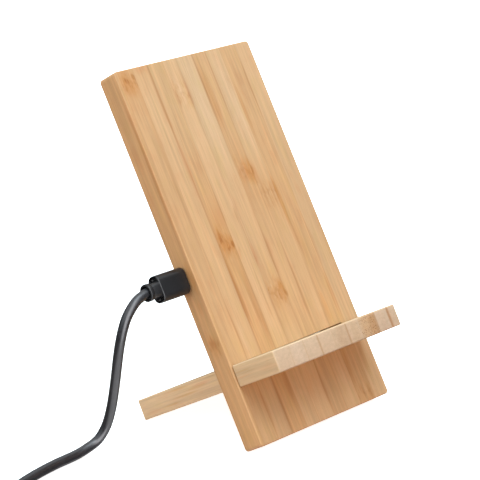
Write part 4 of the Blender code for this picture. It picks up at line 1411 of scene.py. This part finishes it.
def build_plug():
    t, w = body_thickness, body_width
    rings = []
    ease_in, ease_out = 0.9, 0.5
    corner = 2.7
    for k in range(7):
        a = k / 6 * math.pi / 2
        shrink = ease_in * (1 - math.sin(a))
        x = -PLUG_GAP - ease_in * (1 - math.cos(a))
        rings.append(section(x, t - 2 * shrink, w - 2 * shrink, corner - shrink * 0.6, 10))
    for k in range(7):
        a = k / 6 * math.pi / 2
        shrink = ease_out * (1 - math.cos(a))
        x = body_end + ease_out * (1 - math.sin(a))
        rings.append(section(x, t - 2 * shrink, w - 2 * shrink, corner - shrink * 0.6, 10))
    mesh = as_mesh("plug_body", loft(rings))

    # the neck, flush with the body's faces, and the collar round the cable
    neck = [section(body_end + 3.0, neck_thickness + 0.3, neck_width - 0.4, 1.6)]
    neck.append(section(body_end - 0.2, neck_thickness + 0.3, neck_width - 0.4, 1.6))
    neck.append(section(body_end - neck_length + 0.9, neck_thickness, neck_width - 0.7, 1.7))
    neck.append(section(body_end - neck_length - 0.3, neck_thickness - 0.5, neck_width - 0.9, 2.0))
    neck_mesh = as_mesh("neck", loft(neck))
    collar = []
    c0, c1 = body_end - neck_length + 0.4, collar_end
    for x, shrink in (
        (c0, 0.45),
        (c0 - 0.15, 0.18),
        (c0 - 0.45, 0.0),
        (c1 + 0.40, 0.0),
        (c1 + 0.12, 0.14),
        (c1, 0.40),
    ):
        collar.append(
            section(x, collar_thickness - 2 * shrink, collar_width - 2 * shrink, 2.9 - shrink, 8)
        )
    collar_mesh = as_mesh("collar", loft(collar))
    mesh = boolean(mesh, [neck_mesh, collar_mesh], "UNION")

    cutters = []
    # scooped recesses above and below the neck
    for sign in (-1, 1):
        rings = []
        z_mid = sign * 4.05
        for x, grow in ((-1.0, 0.1), (0.0, 0.06), (0.25, 0.0), (1.3, -0.06), (1.75, -0.3), (1.95, -0.65)):
            rings.append(
                [
                    (body_end + x, a, z_mid + b)
                    for a, b in rounded(4.5, 1.75, 0.8, 6, grow)
                ]
            )
        cutters.append(as_mesh("scoop", loft(rings)))
    # the collar's mouth, wider than the cable
    bore = lathe([(0, -2.4), (2.1, -2.3), (2.42, -1.9), (2.52, -0.6), (2.64, -0.1), (2.77, 0.6), (0, 0.6)], 40)
    bmesh.ops.rotate(
        bore, verts=bore.verts, cent=(0, 0, 0), matrix=Matrix.Rotation(-math.pi / 2, 3, "Y")
    )
    cutters.append(as_mesh("bore", shift(bore, collar_end)))
    sl, st, sw = PLUG_SHELL
    seat = loft(
        [
            section(x, st + 0.6 + g * 2, sw + 0.6 + g * 2, 0.7 + g)
            for x, g in ((1.0, 0.2), (-PLUG_GAP, 0.2), (-PLUG_GAP - 0.2, 0.0), (SHELL_BASE - 0.3, 0.0))
        ]
    )
    cutters.append(as_mesh("seat", seat))
    mesh = boolean(mesh, cutters)
    return piece(
        "plug_moulding", mesh, PLUG, M["plug"], "cable", ("plug_housing",), 38
    )


def build_plug_shell():
    """The drawn metal tongue of the plug: a flattened tube with two latches."""
    sl, st, sw = PLUG_SHELL
    x0 = SHELL_BASE
    wall = 0.25
    outer = []
    for x, shrink in ((x0, 0.0), (x0 + sl - 0.35, 0.0), (x0 + sl - 0.12, 0.05), (x0 + sl, 0.16)):
        outer.append(section(x, st - 2 * shrink, sw - 2 * shrink, 0.55))
    mesh = as_mesh("plug_tongue", loft(outer))
    void = as_mesh(
        "void",
        loft(
            [
                section(x, st - 2 * wall, sw - 2 * wall, 0.35)
                for x in (x0 + 0.2, x0 + sl + 1.0)
            ]
        ),
    )
    cutters = [void]
    for side in (-1, 1):
        cutters.append(
            as_mesh(
                "latch",
                loft(
                    [
                        [(x0 + 7.2 + a, y, side * 1.9 + b) for a, b in rounded(1.5, 0.7, 0.2, 3)]
                        for y in (-st, -st / 2 + 0.5)
                    ]
                ),
            )
        )
    mesh = boolean(mesh, cutters)
    return piece("plug_tongue", mesh, PLUG, M["steel"], "cable", ("plug_shell",), 30)


plug = build_plug()
plug_shell = build_plug_shell()

# ----------------------------------------------------- plug on the far end


def build_far_plug():
    fl, fw, fh = FAR_BODY
    rings = []
    # ribbed strain relief, then the body with thumb grooves
    for k in range(25):
        u = k / 24
        r = 2.35 + 1.05 * u + (0.22 if (k % 4) in (1, 2) else 0.0)
        x = FAR_BOOT * u
        rings.append([(x, r * math.cos(a), r * math.sin(a)) for a in ring_angles(28)])
    mesh = as_mesh("far_moulding", loft(rings))
    body = []
    ease = 1.3
    for k in range(7):
        a = k / 6 * math.pi / 2
        shrink = ease * (1 - math.sin(a))
        body.append(section(FAR_BOOT - 0.3 + ease * (1 - math.cos(a)), fw - 2 * shrink, fh - 2 * shrink, 2.6 - shrink * 0.5))
    for k in range(7):
        a = k / 6 * math.pi / 2
        e = 0.5
        shrink = e * (1 - math.cos(a))
        body.append(section(FAR_BOOT + fl - e * (1 - math.sin(a)), fw - 2 * shrink, fh - 2 * shrink, 2.6 - shrink * 0.5))
    body_mesh = as_mesh("far_body", loft(body))
    mesh = boolean(mesh, [body_mesh], "UNION")
    ml, mw, mh = FAR_SHELL
    cutters = [
        as_mesh(
            "seat",
            loft(
                [
                    section(x, mw + 0.6 + 2 * g, mh + 0.6 + 2 * g, 0.7 + g)
                    for x, g in (
                        (FAR_BOOT + fl + 1.0, 0.25),
                        (FAR_BOOT + fl, 0.25),
                        (FAR_BOOT + fl - 0.25, 0.0),
                        (FAR_BOOT + fl - 5.0, 0.0),
                    )
                ]
            ),
        )
    ]
    bore = lathe([(0, -2.6), (2.04, -2.5), (2.1, -0.5), (2.25, -0.1), (2.4, 0.5), (0, 0.5)], 36)
    bmesh.ops.rotate(
        bore, verts=bore.verts, cent=(0, 0, 0), matrix=Matrix.Rotation(-math.pi / 2, 3, "Y")
    )
    cutters.append(as_mesh("bore", bore))
    # four shallow grip grooves in each broad face
    for top in (-1, 1):
        for k in range(4):
            x = FAR_BOOT + 5.0 + 2.6 * k
            groove = loft(
                [
                    [(x + a, y, top * (fh / 2 + 0.25) + b) for a, b in rounded(1.1, 1.0, 0.45, 4)]
                    for y in (-fw / 2 + 3.4, fw / 2 - 3.4)
                ]
            )
            cutters.append(as_mesh("groove", groove))
    mesh = boolean(mesh, cutters)
    return piece(
        "far_plug_moulding", mesh, FAR, M["plug"], "cable", ("far_plug_housing",), 38
    )


def ring_angles(n):
    return [TAU * k / n for k in range(n)]


def build_far_shell():
    """The flat metal sleeve of the far plug, folded from sheet: a seam below and two windows a side."""
    ml, mw, mh = FAR_SHELL
    end = FAR_BOOT + FAR_BODY[0]
    x0 = end - 4.6
    outer = []
    for x, shrink in ((x0, 0.0), (end + ml - 0.5, 0.0), (end + ml - 0.15, 0.06), (end + ml, 0.18)):
        outer.append(section(x, mw - 2 * shrink, mh - 2 * shrink, 0.6))
    mesh = as_mesh("far_sleeve", loft(outer))
    cutters = [
        as_mesh(
            "void",
            loft([section(x, mw - 0.62, mh - 0.62, 0.35) for x in (x0 - 1.0, end + ml + 1.0)]),
        )
    ]
    for y in (-2.6, 2.6):
        for side in (-1, 1):
            cutters.append(
                as_mesh(
                    "window",
                    loft(
                        [
                            [(end + 6.4 + a, y + b, z) for a, b in rounded(2.2, 2.2, 0.25, 3)]
                            for z in (side * (mh / 2 - 0.9), side * (mh / 2 + 1.0))
                        ]
                    ),
                )
            )
    # the seam where the sheet's edges meet, a dovetail's width open
    cutters.append(
        as_mesh(
            "seam",
            loft(
                [
                    [(a, b, z) for a, b in ((end - 1.0, -0.05), (end + ml + 1, -0.05), (end + ml + 1, 0.05), (end - 1.0, 0.05))]
                    for z in (-mh / 2 - 0.5, -mh / 2 + 0.9)
                ]
            ),
        )
    )
    mesh = boolean(mesh, cutters)
    return piece("far_plug_sleeve", mesh, FAR, M["steel"], "cable", ("far_plug_shell",), 30)


far_plug = build_far_plug()
far_sleeve = build_far_shell()

# ------------------------------------------------------------- tie on the coil


def build_tie():
    """A narrow strap round the turns, as one closed loop."""
    outer = r_out + CABLE_D / 2 + 0.1
    inner = r_in - CABLE_D / 2 - 0.1
    top = high + CABLE_D / 2
    a0, a1 = inner - 1.4 + 0.35, outer + 0.9 - 0.35
    z0, z1 = 0.35, top + 0.9 - 0.35
    half = 3.3
    thick = 0.55
    # a rounded loop in the plane across the turns
    loop = rounded(a1 - a0, z1 - z0, 1.6, 8)
    centre_a, centre_z = (a0 + a1) / 2, (z0 + z1) / 2
    path = [Vector((centre_a + a, centre_z + b)) for a, b in loop]
    path.append(path[0].copy())
    lengths = [0.0]
    for p, q in zip(path, path[1:]):
        lengths.append(lengths[-1] + (q - p).length)
    bm = bmesh.new()
    weave = {}
    across_steps = 12
    rows = []
    for i, p in enumerate(path[:-1]):
        q = path[(i + 1) % (len(path) - 1)]
        o = path[i - 1] if i else path[-2]
        tangent = (q - o).normalized()
        normal = Vector((tangent.y, -tangent.x))
        row = []
        for j in range(across_steps + 1):
            y = -half + 2 * half * j / across_steps
            edge = 1 - max(0.0, abs(y) / half - 0.88) / 0.12
            t = thick / 2 * (0.55 + 0.45 * min(1.0, edge))
            row.append((p + normal * t, p - normal * t, y, lengths[i]))
        rows.append(row)
    verts = []
    for row in rows:
        outer_row, inner_row = [], []
        for po, pi, y, along in row:
            vo = bm.verts.new((-po.x, y, po.y))
            vi = bm.verts.new((-pi.x, y, pi.y))
            weave[vo] = weave[vi] = (along, y, 0.0)
            outer_row.append(vo)
            inner_row.append(vi)
        verts.append((outer_row, inner_row))
    n = len(verts)
    for i in range(n):
        (oa, ia), (ob, ib) = verts[i], verts[(i + 1) % n]
        for j in range(across_steps):
            bm.faces.new((oa[j], oa[j + 1], ob[j + 1], ob[j]))
            bm.faces.new((ia[j], ib[j], ib[j + 1], ia[j + 1]))
        bm.faces.new((oa[0], ob[0], ib[0], ia[0]))
        bm.faces.new((oa[-1], ia[-1], ib[-1], ob[-1]))
    bmesh.ops.recalc_face_normals(bm, faces=bm.faces)
    bm.verts.index_update()
    values = []
    for vert in bm.verts:
        values.extend(weave[vert])
    mesh = as_mesh("tie_strap_loop", bm)
    attribute = mesh.attributes.new("weave", "FLOAT_VECTOR", "POINT")
    attribute.data.foreach_set("vector", values)
    place = WORLD @ Matrix.Translation(hank)
    return piece("tie_strap_loop", mesh, place, M["strap"], "cable", ("cable_tie",), 50)


tie = build_tie()

# --------------------------------------------------- finish of the other nodes

FINISH = {
    "circuit_board": "mask",
    "controller_chip": "chip",
    "driver_chip_1": "chip",
    "driver_chip_2": "chip",
    "filter_inductor": "ferrite",
    "input_capacitor_1": "ceramic",
    "input_capacitor_2": "ceramic",
    "resonance_capacitor_1": "ceramic",
    "resonance_capacitor_2": "ceramic",
    "resonance_capacitor_3": "ceramic",
    "resonance_capacitor_4": "ceramic",
    "thermistor": "ceramic",
    "charging_coil": "copper",
    "coil_lead_1": "copper",
    "coil_lead_2": "copper",
    "ferrite_sheet": "ferrite",
    "foam_pad": "foam",
    "usb_socket_shell": "steel",
    "usb_socket_tongue": "chip",
    "plug_insert": "chip",
    "far_plug_insert": "insert",
}
for name, key in FINISH.items():
    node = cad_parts[name]
    node.data.materials.clear()
    node.data.materials.append(M[key])

# ------------------------------------------------------------ floor and light


def add_floor():
    bm = bmesh.new()
    bmesh.ops.create_grid(bm, x_segments=4, y_segments=4, size=8.0)
    mesh = as_mesh("floor", bm)
    g = Graph("floor_paper")
    place = g.node("ShaderNodeTexCoord").outputs["Object"]
    fine = g.noise(place, scale=90.0, detail=2.0)
    g.finish(
        (0.95, 0.95, 0.95),
        g.fma(fine, 0.05, 0.85),
        Specular_IOR_Level=0.1,
        Emission_Color=(1.0, 1.0, 1.0, 1.0),
        Emission_Strength=0.84,
    )
    mesh.materials.append(g.mat)
    floor = bpy.data.objects.new("floor", mesh)
    scene.collection.objects.link(floor)
    floor.location = (0, 0, -0.00011)
    # white paper to the eye, but it throws little light back up at the wood
    floor.visible_diffuse = False
    floor.visible_glossy = False


def add_light(name, kind, energy, direction, colour=(1, 1, 1), size=0.5, distance=1.0, angle=0.5):
    data = bpy.data.lights.new(name, kind)
    data.energy = energy
    data.color = colour
    obj = bpy.data.objects.new(name, data)
    scene.collection.objects.link(obj)
    toward = Vector(direction).normalized()
    obj.location = toward * distance + Vector((0, 0, 0.07))
    obj.rotation_mode = "QUATERNION"
    obj.rotation_quaternion = toward.to_track_quat("Z", "Y")
    if kind == "AREA":
        data.shape = "DISK"
        data.size = size
    if kind == "SUN":
        data.angle = angle
    return obj


def add_world():
    """A soft box overhead, dim walls and the table's warm bounce. Shiny things see a
    plainer room: a bright ceiling over dark walls and a pale table."""
    world = bpy.data.worlds.new("studio")
    scene.world = world
    world.use_nodes = True
    tree = world.node_tree
    tree.nodes.clear()
    out = tree.nodes.new("ShaderNodeOutputWorld")
    background = tree.nodes.new("ShaderNodeBackground")
    mix = tree.nodes.new("ShaderNodeMix")
    mix.data_type = "RGBA"
    path = tree.nodes.new("ShaderNodeLightPath")
    height = tree.nodes.new("ShaderNodeMapRange")
    parts = tree.nodes.new("ShaderNodeSeparateXYZ")
    where = tree.nodes.new("ShaderNodeTexCoord")
    tree.links.new(where.outputs["Generated"], parts.inputs[0])
    tree.links.new(parts.outputs[2], height.inputs[0])
    height.inputs[1].default_value = -1.0
    height.inputs[2].default_value = 1.0
    lower, middle, upper = (0.48, 0.41, 0.37), (1.08, 0.67, 0.475), (0.587, 0.746, 0.79)
    lit = ((0.0, lower), (0.46, lower), (0.50, middle), (0.66, middle), (0.72, upper), (1.0, upper))
    dark, wall, ceiling = (0.14, 0.14, 0.14), (0.17, 0.17, 0.175), (1.4, 1.4, 1.4)
    table = (1.9, 1.9, 1.95)
    seen = ((0.0, table), (0.08, table), (0.16, dark), (0.48, dark), (0.54, wall), (0.72, wall))
    seen += ((0.84, ceiling), (1.0, ceiling))
    for stops, socket in ((lit, 6), (seen, 7)):
        ramp = tree.nodes.new("ShaderNodeValToRGB")
        for k, (place, colour) in enumerate(stops):
            if k > 1:
                ramp.color_ramp.elements.new(place)
        for element, (place, colour) in zip(ramp.color_ramp.elements, stops):
            element.position = place
            element.color = tuple(c / 2 for c in colour) + (1,)
        tree.links.new(height.outputs[0], ramp.inputs[0])
        if socket == 6:
            tree.links.new(ramp.outputs[0], mix.inputs[socket])
    # the soft box in front, which draws the long highlight on the cable
    flat = tree.nodes.new("ShaderNodeVectorMath")
    flat.operation = "MULTIPLY"
    flat.inputs[1].default_value = (1.0, 1.0, 0.35)
    level = tree.nodes.new("ShaderNodeVectorMath")
    level.operation = "NORMALIZE"
    towards = tree.nodes.new("ShaderNodeVectorMath")
    towards.operation = "DOT_PRODUCT"
    towards.inputs[1].default_value = Vector((-0.46, -0.88, -0.02)).normalized()
    edge = tree.nodes.new("ShaderNodeMapRange")
    edge.inputs[1].default_value = 0.80
    edge.inputs[2].default_value = 0.95
    box = tree.nodes.new("ShaderNodeMix")
    box.data_type = "RGBA"
    box.inputs[7].default_value = (3.8, 3.8, 3.9, 1)
    tree.links.new(where.outputs["Generated"], flat.inputs[0])
    tree.links.new(flat.outputs[0], level.inputs[0])
    tree.links.new(level.outputs[0], towards.inputs[0])
    tree.links.new(towards.outputs["Value"], edge.inputs[0])
    tree.links.new(edge.outputs[0], box.inputs[0])
    tree.links.new(ramp.outputs[0], box.inputs[6])
    tree.links.new(box.outputs[2], mix.inputs[7])
    tree.links.new(path.outputs["Is Glossy Ray"], mix.inputs[0])
    background.inputs["Strength"].default_value = 2.0
    tree.links.new(mix.outputs[2], background.inputs[0])
    tree.links.new(background.outputs[0], out.inputs[0])


add_floor()
add_world()
add_light("key", "SUN", 0.96, (-0.12, -0.62, 1.05), (0.90, 1.0, 1.14), angle=math.radians(40))
add_light("high", "SUN", 1.36, (-0.12, -0.40, 1.25), (0.85, 1.0, 1.07), angle=math.radians(45))
add_light("left", "SUN", 0.84, (-1.0, 0.18, 0.34), (0.88, 1.0, 1.04), angle=math.radians(55))

scene.view_settings.view_transform = "Standard"
scene.view_settings.look = "None"
scene.view_settings.exposure = 0.0
scene.view_settings.gamma = 1.0
